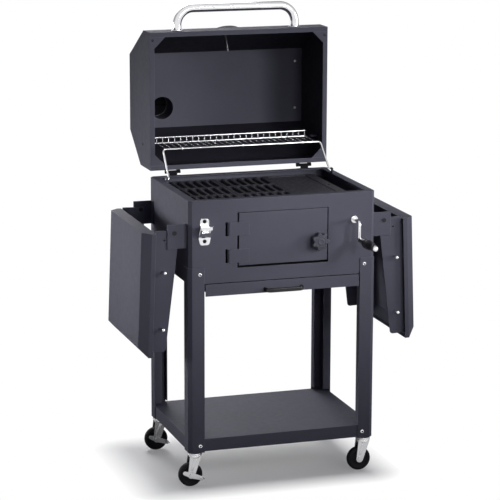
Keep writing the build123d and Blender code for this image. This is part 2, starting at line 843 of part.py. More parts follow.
# Lid: folded shell, two sides with a rim flange, hinge straps, bow handle, thermometer and chimney
def lid_point(depth, height):
    """Point of the lid's side view, from its depth behind the rim and its height over its rear edge."""
    return (rim_y + depth, lid_z + height)


lid_outline = [
    lid_point(0, 0), lid_point(lid_back_face, 0), lid_point(lid_depth, lid_slope_h),
    lid_point(lid_depth, fire_d - lid_slope_h), lid_point(lid_front_face, fire_d), lid_point(0, fire_d),
]
lid_path = [lid_point(0, lid_rim), *lid_outline, lid_point(0, fire_d - lid_rim)]
slope = Vector(lid_front_face - lid_depth, lid_slope_h).normalized()
thermo_at = Vector(*lid_outline[4]) - slope * thermo_down
thermo_plane = Plane((thermo_x, thermo_at.X, thermo_at.Y), x_dir=(1, 0, 0), z_dir=(0, slope.Y, -slope.X))
chimney_plane = Plane((chimney_x, lid_top_y, chimney_z), x_dir=(-1, 0, 0), z_dir=(0, 1, 0))
with BuildPart() as lid_shell:
    with BuildSketch(Plane.YZ.offset(-lid_inner_x)):
        Polygon(*bent_sheet(lid_path, lid_sheet), align=None)
    extrude(amount=2 * lid_inner_x)
    with Locations(thermo_plane):
        Cylinder(probe_r + run_gap, 2 * thermo_h, mode=Mode.SUBTRACT)
    with Locations(chimney_plane):
        Cylinder(chimney_in_r, 2 * lid_rim, mode=Mode.SUBTRACT)
save(lid_shell.part, "lid_shell")


def lid_side(side):
    """Left (-1) or right (1) side of the lid with its rim flange and the socket of the warming rack."""
    inner = side * lid_inner_x
    low = lid_z + lid_rim
    high = lid_z + fire_d - lid_rim
    edge = side * (lid_inner_x - lid_rim + lid_sheet)
    deep = edge - side * gusset
    flange = [
        (inner, low), (deep, low), (edge, low + gusset),
        (edge, high - gusset), (deep, high), (inner, high),
    ]
    with BuildPart() as piece:
        with BuildSketch(Plane.YZ.offset(inner)):
            Polygon(*lid_outline, align=None)
        extrude(amount=side * lid_sheet)
        with BuildSketch(Plane.XZ.offset(-rim_y - lid_sheet)):
            Polygon(*flange[::-side], align=None)
        extrude(amount=lid_sheet)
        rod((inner, rack_y, rack_z), (inner - side * post_len, rack_y, rack_z), post_r)
        rod((inner, rack_y, rack_z), (inner - side * (post_len + cut_over), rack_y, rack_z),
            rack_rod_r + run_gap, Mode.SUBTRACT)
    return piece.part


save(lid_side(-1), "lid_left_side")
save(lid_side(1), "lid_right_side")

knuckle_half = hinge_mid_w / 2
with BuildPart() as lid_hinge_straps:
    for side in (-1, 1):
        middle = side * hinge_x
        block((middle - hinge_w / 2, hinge_y + hinge_r, lid_z - hinge_leaf_t),
              (middle + hinge_w / 2, hinge_y + hinge_r + hinge_strap_l, lid_z))
        for out in (-1, 1):
            near_x = middle + out * (knuckle_half + hinge_side_gap)
            far_x = middle + out * hinge_w / 2
            rod((near_x, hinge_y, hinge_z), (far_x, hinge_y, hinge_z), hinge_r)
            block((near_x, hinge_y, hinge_z), (far_x, hinge_y + hinge_r, lid_z))
            rod((near_x - out * cut_over, hinge_y, hinge_z), (far_x + out * cut_over, hinge_y, hinge_z),
                hinge_pin_r + run_gap, Mode.SUBTRACT)
save(lid_hinge_straps.part, "lid_hinge_straps")

with BuildPart() as lid_hinge_leaves:
    for side in (-1, 1):
        middle = side * hinge_x
        block((middle - hinge_w / 2, back_y, top_z - hinge_leaf_down),
              (middle + hinge_w / 2, back_y + hinge_leaf_t, top_z))
        block((middle - knuckle_half, back_y + hinge_leaf_clear, top_z),
              (middle + knuckle_half, back_y + hinge_leaf_t, hinge_z))
        block((middle - knuckle_half, back_y + hinge_leaf_clear, hinge_z - hinge_leaf_t),
              (middle + knuckle_half, hinge_y, hinge_z))
        rod((middle - knuckle_half, hinge_y, hinge_z), (middle + knuckle_half, hinge_y, hinge_z), hinge_r)
        rod((middle - hinge_w / 2, hinge_y, hinge_z), (middle + hinge_w / 2, hinge_y, hinge_z), hinge_pin_r)
save(lid_hinge_leaves.part, "lid_hinge_leaves")

handle_y = rim_y + lid_front_face / 2
handle_z = lid_z + fire_d
with BuildPart() as lid_handle:
    with BuildLine():
        handle_path = FilletPolyline(
            (-handle_x, handle_y, handle_z), (-handle_x, handle_y, handle_z + handle_rise),
            (handle_x, handle_y, handle_z + handle_rise), (handle_x, handle_y, handle_z), radius=handle_bend)
    with BuildSketch(Plane.XY.offset(handle_z)):
        with Locations((-handle_x, handle_y)):
            Circle(handle_r)
    sweep(path=handle_path)
    for side in (-1, 1):
        rod((side * handle_x, handle_y, handle_z), (side * handle_x, handle_y, handle_z + handle_flange_t),
            handle_flange_r)
    with BuildSketch(Plane.XY.offset(handle_z)):
        with Locations((-handle_x, handle_y)):
            Circle(handle_r - handle_wall)
    sweep(path=handle_path, mode=Mode.SUBTRACT)
save(lid_handle.part, "lid_handle")

with BuildPart() as thermometer:
    with BuildSketch(thermo_plane):
        Circle(thermo_r)
    extrude(amount=thermo_h)
    dial_face = thermometer.faces().sort_by(Axis(thermo_plane.origin, thermo_plane.z_dir))[-1]
    fillet(dial_face.edges(), thermo_edge)
    with BuildSketch(thermo_plane):
        Circle(probe_r)
    extrude(amount=-probe_len)
save(thermometer.part, "thermometer")

# Chimney: a flanged pipe that points back while the lid is open, with a turning damper plate in it
damper_r = chimney_in_r - damper_gap
lever_x = chimney_x - chimney_r - damper_lever_out
with BuildPart() as chimney:
    with BuildSketch(chimney_plane):
        Circle(chimney_r)
    extrude(amount=chimney_len)
    with BuildSketch(chimney_plane):
        Circle(chimney_flange_r)
    extrude(amount=chimney_flange_t)
    with Locations(chimney_plane):
        Cylinder(chimney_in_r, 2 * chimney_len + cut_over, mode=Mode.SUBTRACT)
    rod((chimney_x - chimney_flange_r, damper_y, chimney_z),
        (chimney_x + chimney_flange_r, damper_y, chimney_z), damper_rod_r + run_gap, Mode.SUBTRACT)
save(chimney.part, "chimney")

with BuildPart() as vent_disc:
    rod((chimney_x, damper_y - damper_t / 2, chimney_z), (chimney_x, damper_y + damper_t / 2, chimney_z),
        damper_r)
    rod((lever_x, damper_y, chimney_z), (chimney_x + chimney_r + damper_rod_end, damper_y, chimney_z),
        damper_rod_r)
    block((lever_x, damper_y - damper_lever_w / 2, chimney_z - damper_lever_h / 2),
          (lever_x - damper_lever_t, damper_y + damper_lever_w / 2, chimney_z + damper_lever_h / 2))
save(vent_disc.part, "vent_disc")

# Warming rack: hangs on the lid at its back and on the bail at its front
rack_front_y = bail_y + rack_front_gap
rear_half = lid_inner_x - post_len + post_grip
fence_z = rack_z + rack_fence_h
wire_xs = [(i - (rack_wires - 1) / 2) * rack_wire_pitch for i in range(rack_wires)]
eye_xs = (-rack_eye_x, 0, rack_eye_x)
with BuildPart() as warming_rack:
    rod((-rear_half, rack_y, rack_z), (rear_half, rack_y, rack_z), rack_rod_r)
    rod((-rack_half_w, rack_front_y, rack_z), (rack_half_w, rack_front_y, rack_z), rack_rail_r)
    rod((-rack_half_w, rack_y, fence_z), (rack_half_w, rack_y, fence_z), rack_rail_r)
    with Locations(*[Plane((x, rack_front_y, rack_z), z_dir=(0, 1, 0)) for x in wire_xs]):
        Cylinder(rack_wire_r, rack_y - rack_front_y, align=(Align.CENTER, Align.CENTER, Align.MIN))
    with Locations(*[(x, rack_y, rack_z) for x in wire_xs]):
        Cylinder(rack_wire_r, rack_fence_h, align=(Align.CENTER, Align.CENTER, Align.MIN))
    with Locations(*[Plane((x, bail_y, rack_z), z_dir=(1, 0, 0)) for x in eye_xs]):
        Cylinder(rack_eye_r, rack_eye_w)
        Cylinder(bail_r + rack_eye_gap, rack_eye_w + cut_over, mode=Mode.SUBTRACT)
save(warming_rack.part, "warming_rack")

with BuildPart() as rack_bail:
    with BuildLine():
        bail_path = FilletPolyline(
            (-bail_end_x, bail_foot_y, bail_foot_z), (-bail_foot_x, bail_foot_y, bail_foot_z),
            (-bail_top_x, bail_y, rack_z), (bail_top_x, bail_y, rack_z),
            (bail_foot_x, bail_foot_y, bail_foot_z), (bail_end_x, bail_foot_y, bail_foot_z),
            radius=[bail_foot_bend, bail_top_bend, bail_top_bend, bail_foot_bend])
    with BuildSketch(Plane((-bail_end_x, bail_foot_y, bail_foot_z), z_dir=(1, 0, 0))):
        Circle(bail_r)
    sweep(path=bail_path)
save(rack_bail.part, "rack_bail")

with BuildPart() as rack_ears:
    for side in (-1, 1):
        low_y = bail_foot_y - ear_w / 2
        high_y = bail_foot_y + ear_w / 2
        block((side * ear_x, low_y, top_z), (side * (ear_x + ear_t), high_y, top_z + ear_h))
        block((side * ear_x, low_y, top_z), (side * (ear_x + ear_foot), high_y, top_z + ear_t))
        rod((side * (ear_x - cut_over), bail_foot_y, bail_foot_z),
            (side * (ear_x + ear_t + cut_over), bail_foot_y, bail_foot_z), bail_r + run_gap, Mode.SUBTRACT)
save(rack_ears.part, "rack_ears")


# Side tables: bevelled pans on two arms each, turning on bolts in wall brackets
def lean(piece, side):
    """Turn an upright table piece outwards about its pivot, to the angle at which it hangs."""
    return piece.rotate(Axis((side * pivot_x, mid_y, pivot_z), (0, -side, 0)), table_lean)


def pan_block(side, inset):
    """Upright table pan without its hollow, moved inwards on every face but its open one."""
    step = inset * (sqrt(2) - 1)
    half = table_width / 2 - inset
    low = pivot_z + table_up - table_len + inset
    high = pivot_z + table_up - inset
    bevel = table_bevel + step - inset
    face = side * (pivot_x + table_face_out - inset)
    skirt = side * (pivot_x + table_face_out - table_bevel - step)
    edge = side * (pivot_x + table_in - inset)
    plan = [
        (edge, mid_y - half), (skirt, mid_y - half), (face, mid_y - half + bevel),
        (face, mid_y + half - bevel), (skirt, mid_y + half), (edge, mid_y + half),
    ]
    profile = [(edge, low), (skirt, low), (face, low + bevel), (face, high), (edge, high)]
    with BuildPart() as solid:
        with BuildSketch(Plane.XY.offset(low)):
            Polygon(*plan[::side], align=None)
        extrude(amount=high - low)
        with BuildSketch(Plane.XZ.offset(-mid_y - half)):
            Polygon(*profile[::side], align=None)
        extrude(amount=2 * half, mode=Mode.INTERSECT)
    return solid.part


def table_top(side):
    """Hollow pan of a table."""
    outside = pan_block(side, 0)
    hollow = pan_block(side, table_sheet)
    with BuildPart() as pan:
        add(outside)
        add(hollow, mode=Mode.SUBTRACT)
    return pan.part


def table_arms(side):
    """The two arms of a table, inside the front and back skirts of its pan."""
    notch = table_in - clear_gap
    under = table_up - table_sheet
    outline = [
        (-arm_top_in, arm_top), (-arm_neck_in, -arm_neck_down), (arm_tip_out, -arm_tip_down),
        (arm_out, -arm_tip_down), (arm_out, under), (notch, under), (notch, arm_top),
    ]
    points = [(side * (pivot_x + out), pivot_z + up) for out, up in outline]
    with BuildPart() as arms:
        for end_y in (mid_y - table_arm_y + arm_t, mid_y + table_arm_y):
            with BuildSketch(Plane.XZ.offset(-end_y)) as arm_face:
                Polygon(*points[::side], align=None)
                fillet(arm_face.vertices().sort_by(Axis.Y)[:2], arm_round)
                with Locations((side * pivot_x, pivot_z)):
                    Circle(bolt_r + run_gap, mode=Mode.SUBTRACT)
                with Locations((side * (pivot_x + lock_hole_out), pivot_z - lock_hole_down)):
                    Circle(lock_hole_r, mode=Mode.SUBTRACT)
            extrude(amount=arm_t)
    return arms.part


def table_hooks(side):
    """Ball-headed utensil pins on the front arm of a table."""
    with BuildPart() as hooks:
        for down in hook_down:
            hook_x = side * (pivot_x + hook_out)
            hook_y = mid_y - table_arm_y
            rod((hook_x, hook_y, pivot_z - down), (hook_x, hook_y - hook_len, pivot_z - down), hook_r)
            with Locations((hook_x, hook_y - hook_len, pivot_z - down)):
                Sphere(hook_ball_r)
    return hooks.part


with BuildPart() as table_brackets:
    for side in (-1, 1):
        for end in (-1, 1):
            near_y = mid_y + end * bracket_y
            far_y = near_y + end * bracket_t
            high_z = pivot_z + bracket_up
            block((side * half_w, near_y, high_z - bracket_h), (side * (half_w + bracket_out), far_y, high_z))
            block((side * half_w, far_y, high_z - bracket_h),
                  (side * (half_w + bracket_t), far_y - end * bracket_flange, high_z))
            rod((side * pivot_x, near_y - end * cut_over, pivot_z),
                (side * pivot_x, far_y + end * cut_over, pivot_z), bolt_r + run_gap, Mode.SUBTRACT)
save(table_brackets.part, "table_brackets")

nut_y = table_arm_y - arm_t - clear_gap
with BuildPart() as table_bolts:
    for side in (-1, 1):
        for end in (-1, 1):
            head_y = bracket_y + bracket_t
            for low_y, high_y, radius in (
                (nut_y - bolt_head_h, head_y + bolt_head_h, bolt_r),
                (head_y, head_y + bolt_head_h, bolt_head_r),
                (nut_y - bolt_head_h, nut_y, bolt_head_r),
            ):
                rod((side * pivot_x, mid_y + end * low_y, pivot_z),
                    (side * pivot_x, mid_y + end * high_y, pivot_z), radius)
save(table_bolts.part, "table_bolts")


# Casters: swivelling fork with axle, wheel, and a brake pedal on the left ones
def caster_fork(side, end):
    """Fork with its stem and axle; the left ones have a longer axle for the pedal."""
    x = side * stem_x
    y = mid_y + end * stem_y
    pedal_room = pedal_t + 2 * clear_gap if side < 0 else 0
    disc_z = fork_z - fork_disc_h
    axle_x = x - caster_trail
    front = y - fork_out - pedal_room
    with BuildPart() as fork:
        rod((x, y, disc_z), (x, y, fork_z), fork_disc_r)
        rod((x, y, fork_z), (x, y, fork_z + fork_neck_h), fork_neck_r)
        rod((x, y, fork_z), (x, y, caster_h + stem_up), stem_r)
        for plate_y in (y - fork_in, y + fork_out):
            with BuildSketch(Plane((0, plate_y, 0), x_dir=(1, 0, 0), z_dir=(0, -1, 0))):
                with Locations((axle_x, wheel_r)):
                    Circle(fork_tip_r)
                with Locations((x, disc_z)):
                    Rectangle(fork_top_w, 2 * fork_sheet)
                make_hull()
            extrude(amount=fork_sheet)
        rod((axle_x, front, wheel_r), (axle_x, y + fork_out, wheel_r), axle_r)
        rod((axle_x, front - axle_head_h, wheel_r), (axle_x, front, wheel_r), axle_head_r)
        rod((axle_x, y + fork_out, wheel_r), (axle_x, y + fork_out + axle_head_h, wheel_r), axle_head_r)
    return fork.part


def caster_wheel(side, end):
    """Rubber wheel with a dished web on both faces."""
    x = side * stem_x - caster_trail
    y = mid_y + end * stem_y
    half = wheel_w / 2
    bore = axle_r + run_gap
    rise = wheel_dish / 2
    face = [
        (half, bore), (half, wheel_hub_r), (half - wheel_dish, wheel_hub_r + rise),
        (half - wheel_dish, wheel_web_r), (half, wheel_web_r + rise), (half, wheel_r),
    ]
    outline = face + [(-a, b) for a, b in face[::-1]]
    with BuildPart() as wheel:
        with BuildSketch(Plane((x, y, wheel_r), x_dir=(0, 1, 0), z_dir=(1, 0, 0))) as section:
            Polygon(*outline, align=None)
            fillet(section.vertices().sort_by(Axis.Y)[-2:], wheel_round)
        revolve(axis=Axis((x, y, wheel_r), (0, 1, 0)))
    return wheel.part


def brake_pedal(end):
    """Foot pedal on the axle of a left caster."""
    x = -stem_x - caster_trail
    y = mid_y + end * stem_y - fork_out - clear_gap
    toe_x, toe_z = pedal_toe
    with BuildPart() as pedal:
        with BuildSketch(Plane((x, y, wheel_r), x_dir=(1, 0, 0), z_dir=(0, -1, 0))):
            Circle(pedal_boss_r)
            with Locations(pedal_toe, pedal_heel):
                Circle(pedal_end_r)
            make_hull()
            Circle(axle_r + run_gap, mode=Mode.SUBTRACT)
        extrude(amount=pedal_t)
        block((x + toe_x - pedal_end_r, y, wheel_r + toe_z),
              (x + toe_x + pedal_end_r, y - pedal_tab, wheel_r + toe_z + pedal_t))
    return pedal.part


for side, side_name in ((-1, "left"), (1, "right")):
    save(lean(table_top(side), side), f"{side_name}_table_top")
    save(lean(table_arms(side), side), f"{side_name}_table_arms")
    save(lean(table_hooks(side), side), f"{side_name}_table_hooks")
    for end, end_name in ((-1, "front"), (1, "back")):
        save(leg(side, end), f"leg_{end_name}_{side_name}")
        save(caster_fork(side, end), f"caster_{end_name}_{side_name}")
        save(caster_wheel(side, end), f"wheel_{end_name}_{side_name}")
save(brake_pedal(-1), "brake_front_left")
save(brake_pedal(1), "brake_back_left")

# Bottle opener on the front panel: plate with a round tab, and a hood with a mouth under its lip
tab_z = top_z - opener_top_down - opener_tab_h / 2
hood_z = top_z - opener_hood_down
chin_z = top_z - opener_chin_down
foot_z = top_z - opener_low_down
mouth_z = hood_z - opener_lip_h
plate_y = front_y - opener_t


def opener_outline(rows):
    """Symmetric outline on the opener's middle line, from (width, height) pairs top to bottom."""
    left = [(opener_x - width / 2, height) for width, height in rows]
    right = [(opener_x + width / 2, height) for width, height in rows]
    Polygon(*left, *right[::-1], align=None)


with BuildPart() as bottle_opener:
    with BuildSketch(Plane.XZ.offset(-front_y)) as opener_face:
        opener_outline([(opener_neck_w, tab_z), (opener_low_w, chin_z), (opener_foot_w, foot_z)])
        fillet(opener_face.vertices().sort_by(Axis.Y)[:4], opener_round)
        with Locations((opener_x, tab_z)):
            RectangleRounded(opener_tab_w, opener_tab_h, opener_tab_round)
    extrude(amount=opener_t)
    with BuildSketch(Plane.XZ.offset(-plate_y)):
        opener_outline([(opener_neck_w, hood_z), (opener_low_w, chin_z)])
    with BuildSketch(Plane.XZ.offset(opener_hood_out - plate_y)):
        opener_outline([(opener_lip_w, hood_z), (opener_lip_w, mouth_z)])
    loft(ruled=True)
    block((opener_x - opener_mouth_w / 2, plate_y - opener_hood_out, mouth_z - opener_mouth_h),
          (opener_x + opener_mouth_w / 2, plate_y - opener_mouth_wall, mouth_z), Mode.SUBTRACT)
    tooth_z = mouth_z - opener_mouth_h
    block((opener_x - opener_tooth_w / 2, plate_y - opener_tooth_out, tooth_z),
          (opener_x + opener_tooth_w / 2, plate_y - opener_mouth_wall, tooth_z + opener_tooth_h))
    drill()
save(bottle_opener.part, "bottle_opener")
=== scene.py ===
import json
from math import cos, pi, radians, sin

import bmesh
import bpy
from bpy.props import FloatProperty, FloatVectorProperty, IntProperty, PointerProperty
from mathutils import Matrix, Vector


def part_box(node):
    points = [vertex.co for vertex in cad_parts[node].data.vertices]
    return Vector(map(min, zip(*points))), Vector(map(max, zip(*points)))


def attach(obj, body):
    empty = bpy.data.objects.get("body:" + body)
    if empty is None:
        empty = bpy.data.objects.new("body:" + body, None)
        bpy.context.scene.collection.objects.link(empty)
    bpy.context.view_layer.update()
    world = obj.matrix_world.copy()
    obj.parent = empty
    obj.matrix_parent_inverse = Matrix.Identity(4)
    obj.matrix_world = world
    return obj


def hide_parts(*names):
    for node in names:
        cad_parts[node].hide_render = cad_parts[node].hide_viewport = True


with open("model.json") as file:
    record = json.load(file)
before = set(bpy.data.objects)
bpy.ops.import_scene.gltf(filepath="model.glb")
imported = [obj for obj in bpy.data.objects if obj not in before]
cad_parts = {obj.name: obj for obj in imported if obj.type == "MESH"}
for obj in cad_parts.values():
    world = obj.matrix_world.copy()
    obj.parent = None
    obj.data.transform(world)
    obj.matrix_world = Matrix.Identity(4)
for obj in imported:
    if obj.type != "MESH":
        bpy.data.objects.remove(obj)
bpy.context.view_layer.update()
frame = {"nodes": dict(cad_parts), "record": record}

bl_info = {
    "name": "Charcoal Grill Cart",
    "version": (1, 0, 0),
    "blender": (4, 5, 0),
    "location": "3D View > Sidebar > Grill Cart",
    "description": "Finishes, small parts and studio for a charcoal grill cart",
    "category": "Object",
}

# Solids of the grill, sorted by the finish they carry
SIDES = ("left", "right")
CORNERS = tuple(f"{end}_{side}" for end in ("front", "back") for side in SIDES)
COATED = (
    "front_panel", "back_panel", "left_wall", "right_wall", "lower_shelf", "drawer_runners",
    "table_brackets", "rack_ears", "chimney", "door_panel", "door_straps", "ash_drawer",
    *(f"leg_{corner}" for corner in CORNERS),
    *(f"{side}_table_top" for side in SIDES), *(f"{side}_table_arms" for side in SIDES),
)
LID = ("lid_shell", "lid_left_side", "lid_right_side")
POLISHED = (
    "bottle_opener", "crank_bushings", "lid_handle", "warming_rack", "rack_bail", "crank_rod",
    *(f"{side}_table_hooks" for side in SIDES),
)
CASTERS = (*(f"caster_{corner}" for corner in CORNERS), "brake_front_left", "brake_back_left")
PLATED = ("door_hinge_pins", "latch_tongue", "crank_pinions", "tray_racks")
BLACKENED = ("table_bolts",)
CAST = ("grate_left", "grate_middle", "griddle_plate")
NEAR_BLACK = (
    "firebox_floor", "coal_tray", "grate_supports", "vent_disc", "lid_hinge_leaves", "lid_hinge_straps",
)

# Metals: colour and share of it, least and most roughness, depth of the scratches
METALS = {
    "chrome_polished": ("chrome", 1, 0.08, 0.17, 0.00002),
    "zinc_bright": ("chrome", 0.62, 0.1, 0.3, 0.00008),
    "zinc_plated": ("zinc", 1, 0.28, 0.42, 0.00006),
    # Painted shade: near-black hexagons stand in for the screws' sockets
    "socket_black": ("zinc", 0.04, 0.5, 0.65, 0.00006),
    "black_oxide": ("zinc", 0.06, 0.35, 0.5, 0.00006),
    "brushed_case": ("zinc", 0.3, 0.35, 0.5, 0.00005),
}
# Plastics, rubber, ink and near-black steel: colour and share of it, scale of grain, least and most
# roughness, gloss
MOULDED = {
    "steel_sooted": ("soot", 1, 260, 0.75, 0.95, 0.1),
    "plastic_slate": ("slate", 1, 1500, 0.45, 0.58, 0.2),
    "plastic_black": ("plastic", 1, 1500, 0.12, 0.22, 0.4),
    "rubber_moulded": ("rubber", 1, 700, 0.5, 0.65, 0.15),
    "dial_print": ("plastic", 0.8, 900, 0.5, 0.6, 0.2),
}

# Middle of the firebox from front to back
FIREBOX_Y = (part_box("front_panel")[0].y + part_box("back_panel")[1].y) / 2

# Ways that pieces face
FORWARD = Vector((0, -1, 0))
BACKWARD = Vector((0, 1, 0))
UP = Vector((0, 0, 1))

# Turned profiles: distance along the axis and radius of each point, in metres
KNOB_RING = (
    (-0.0004, 0.0175), (0.0, 0.0175), (0.0009, 0.0168), (0.0009, 0.0152), (0.0, 0.0145), (-0.0004, 0.0145),
)
KNOB_BUTTON = (
    (-0.0004, 0), (-0.0004, 0.0105), (0.0006, 0.0105), (0.0014, 0.0096), (0.0017, 0.0080), (0.0011, 0.0066),
    (0.0011, 0),
)
WHEEL_HALF = (
    (0.0110, 0.00415), (0.0110, 0.0098), (0.0104, 0.0108), (0.0078, 0.0124), (0.0070, 0.0140),
    (0.0070, 0.0246), (0.0076, 0.0262), (0.0098, 0.0272), (0.0104, 0.0280), (0.0104, 0.0294),
    (0.0099, 0.0299), (0.0104, 0.0304), (0.0109, 0.0314), (0.0104, 0.0334), (0.0092, 0.0353),
    (0.0074, 0.0367), (0.0052, 0.0374), (0.0048, 0.0366), (0.0040, 0.0366), (0.0036, 0.0375),
)
RACE_SEAL = (
    (-0.0004, 0.0085), (-0.0004, 0.0196), (-0.0012, 0.0204), (-0.0024, 0.0204), (-0.0034, 0.0198),
    (-0.0034, 0.0085),
)
RACE_BEAD = ((0.0013, 0.0215), (0.0009, 0.0226), (0, 0.0231), (-0.0009, 0.0226), (-0.0013, 0.0215))
RACE_BEAD_HEIGHTS = (-0.0046, -0.0088)
RACE_CUP = (
    (-0.0105, 0.0100), (-0.0105, 0.0185), (-0.0125, 0.0190), (-0.0165, 0.0182), (-0.0190, 0.0160),
    (-0.0190, 0.0100),
)
SCREW_SHANK = ((-0.008, 0), (-0.008, 0.0024), (-0.0074, 0.003), (0, 0.003))
CASE_FOOT = ((0, -0.001), (0.001, 0))
CASE_RIM = ((-0.004, 0), (-0.0012, -0.0012), (0, -0.0034), (-0.0004, -0.0058), (-0.002, -0.0066))
GRIP_RIB = ((-0.0012, -0.0017), (-0.0009, 0.0001), (0, 0.0003), (0.0009, 0.0001), (0.0012, -0.0017))
NEEDLE_HUB = ((0, 0), (0, 0.0042), (0.0005, 0.0042), (0.0009, 0.0034), (0.0011, 0))

# Profiles of heads, in shares of the head's rise and radius
SCREW_HEAD = ((0, 0.97), (0.15, 1), (0.45, 0.94), (0.8, 0.76), (1, 0.58), (1, 0.52), (0.3, 0.5), (0.3, 0))
RIVET_HEAD = ((0, 1), (0.25, 1), (0.67, 0.8), (0.92, 0.45), (1, 0))

# Softboxes: place, aim, width and spread in degrees; the studio's settings hold the power of each by name
SOFTBOXES = {
    "key": ((1.35, -2.65, 1.95), (0, -0.1, 1.0), 0.9, 38),
    "front": ((0.2, -3.1, 1.5), (0, -0.1, 0.75), 0.7, 30),
    "right": ((2.6, -1.6, 1.3), (0, FIREBOX_Y, 1.0), 0.8, 36),
    "left": ((-1.6, 1.7, 1.0), (-0.4, -0.1, 0.75), 0.8, 50),
    "table": ((-2.6, 0.9, 0.9), (-0.43, -0.1, 0.7), 0.7, 30),
    "top": ((0, 2.0, 2.6), (0, 0, 0.3), 1.5, 180),
    "back": ((0, 2.4, 1.7), (0, 0, 0.2), 1.2, 60),
}


def joint_place(name):
    """Point that a joint turns about."""
    joints = frame["record"]["behaviour"]["joints"]
    return Vector(next(joint["pos_m"] for joint in joints if joint["name"] == name))


def middle(node):
    """Centre of a solid's box."""
    low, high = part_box(node)
    return (low + high) / 2


class GrillFinishes(bpy.types.PropertyGroup):
    """Colours and gloss of the grill's finishes."""
    coat: FloatVectorProperty(
        name="Powder coat", description="Anthracite coat of the sheet metal",
        default=(0.08, 0.08, 0.107, 1), size=4, min=0, max=1, subtype="COLOR")
    # Paler coat along the edges: partly a thinner coat, partly a painted highlight
    coat_edge: FloatVectorProperty(
        name="Coat and highlight on edges", description="Thinner, paler coat along the folded edges",
        default=(0.2, 0.2, 0.235, 1), size=4, min=0, max=1, subtype="COLOR")
    chrome: FloatVectorProperty(
        name="Chrome", description="Handle, crank, casters and rack wires",
        default=(0.8, 0.8, 0.82, 1), size=4, min=0, max=1, subtype="COLOR")
    zinc: FloatVectorProperty(
        name="Zinc", description="Plated pins, gear parts and rivets, and the tone of the darker metals",
        default=(0.42, 0.42, 0.44, 1), size=4, min=0, max=1, subtype="COLOR")
    # Painted shade: a near-black coat colour on the slopes and sides inside the lid, where shade falls
    smoked: FloatVectorProperty(
        name="Painted shade", description="Darker coat on the slopes and sides inside the lid",
        default=(0.012, 0.012, 0.018, 1), size=4, min=0, max=1, subtype="COLOR")
    # Near-black tone of the steel inside the firebox, on the damper and the hinges
    soot: FloatVectorProperty(
        name="Near-black steel", description="Near-black steel inside the firebox, on the damper and the hinges",
        default=(0.009, 0.009, 0.011, 1), size=4, min=0, max=1, subtype="COLOR")
    iron: FloatVectorProperty(
        name="Cast iron", description="Enamelled grates and griddle",
        default=(0.032, 0.032, 0.039, 1), size=4, min=0, max=1, subtype="COLOR")
    slate: FloatVectorProperty(
        name="Slate plastic", description="Door knob",
        default=(0.066, 0.066, 0.085, 1), size=4, min=0, max=1, subtype="COLOR")
    plastic: FloatVectorProperty(
        name="Black plastic", description="Crank grip and drawer handle",
        default=(0.007, 0.007, 0.009, 1), size=4, min=0, max=1, subtype="COLOR")
    rubber: FloatVectorProperty(
        name="Rubber", description="Caster wheels",
        default=(0.006, 0.006, 0.009, 1), size=4, min=0, max=1, subtype="COLOR")
    dial: FloatVectorProperty(
        name="Dial", description="Face of the lid thermometer",
        default=(0.8, 0.79, 0.76, 1), size=4, min=0, max=1, subtype="COLOR")
    coat_roughness: FloatProperty(
        name="Coat roughness", description="Satin gloss of the powder coat",
        default=0.68, min=0, max=1, subtype="FACTOR")


class GrillSizes(bpy.types.PropertyGroup):
    """Sizes of the small parts."""
    screw_head: FloatProperty(
        name="Screw head", description="Radius of the button heads on the legs and the opener",
        default=0.006, min=0.002, unit="LENGTH")
    screw_rise: FloatProperty(
        name="Screw rise", description="Height of the button heads",
        default=0.003, min=0.001, unit="LENGTH")
    rivet_head: FloatProperty(
        name="Rivet head", description="Radius of the rivets on the lid and the hinges",
        default=0.0045, min=0.002, unit="LENGTH")
    rivet_rise: FloatProperty(
        name="Rivet rise", description="Height of the rivets",
        default=0.0027, min=0.001, unit="LENGTH")
    flush_rise: FloatProperty(
        name="Flush rise", description="Height of the rivets on the lid's rim, which shuts on the firebox",
        default=0.0005, min=0.0001, unit="LENGTH")
    grip_ribs: IntProperty(
        name="Grip ribs", description="Ribs round the thick end of the crank grip",
        default=6, min=0, max=12)
    case_depth: FloatProperty(
        name="Case depth", description="Height of the thermometer's case over the lid",
        default=0.014, min=0.005, unit="LENGTH")
    dial_slope: FloatProperty(
        name="Dial slope", description="Tilt of the dial from level while the lid is open",
        default=0.50909, subtype="ANGLE")
    dial_top: IntProperty(
        name="Top mark", description="Highest number on the dial, in degrees Celsius",
        default=350, min=100, max=500, step=50)


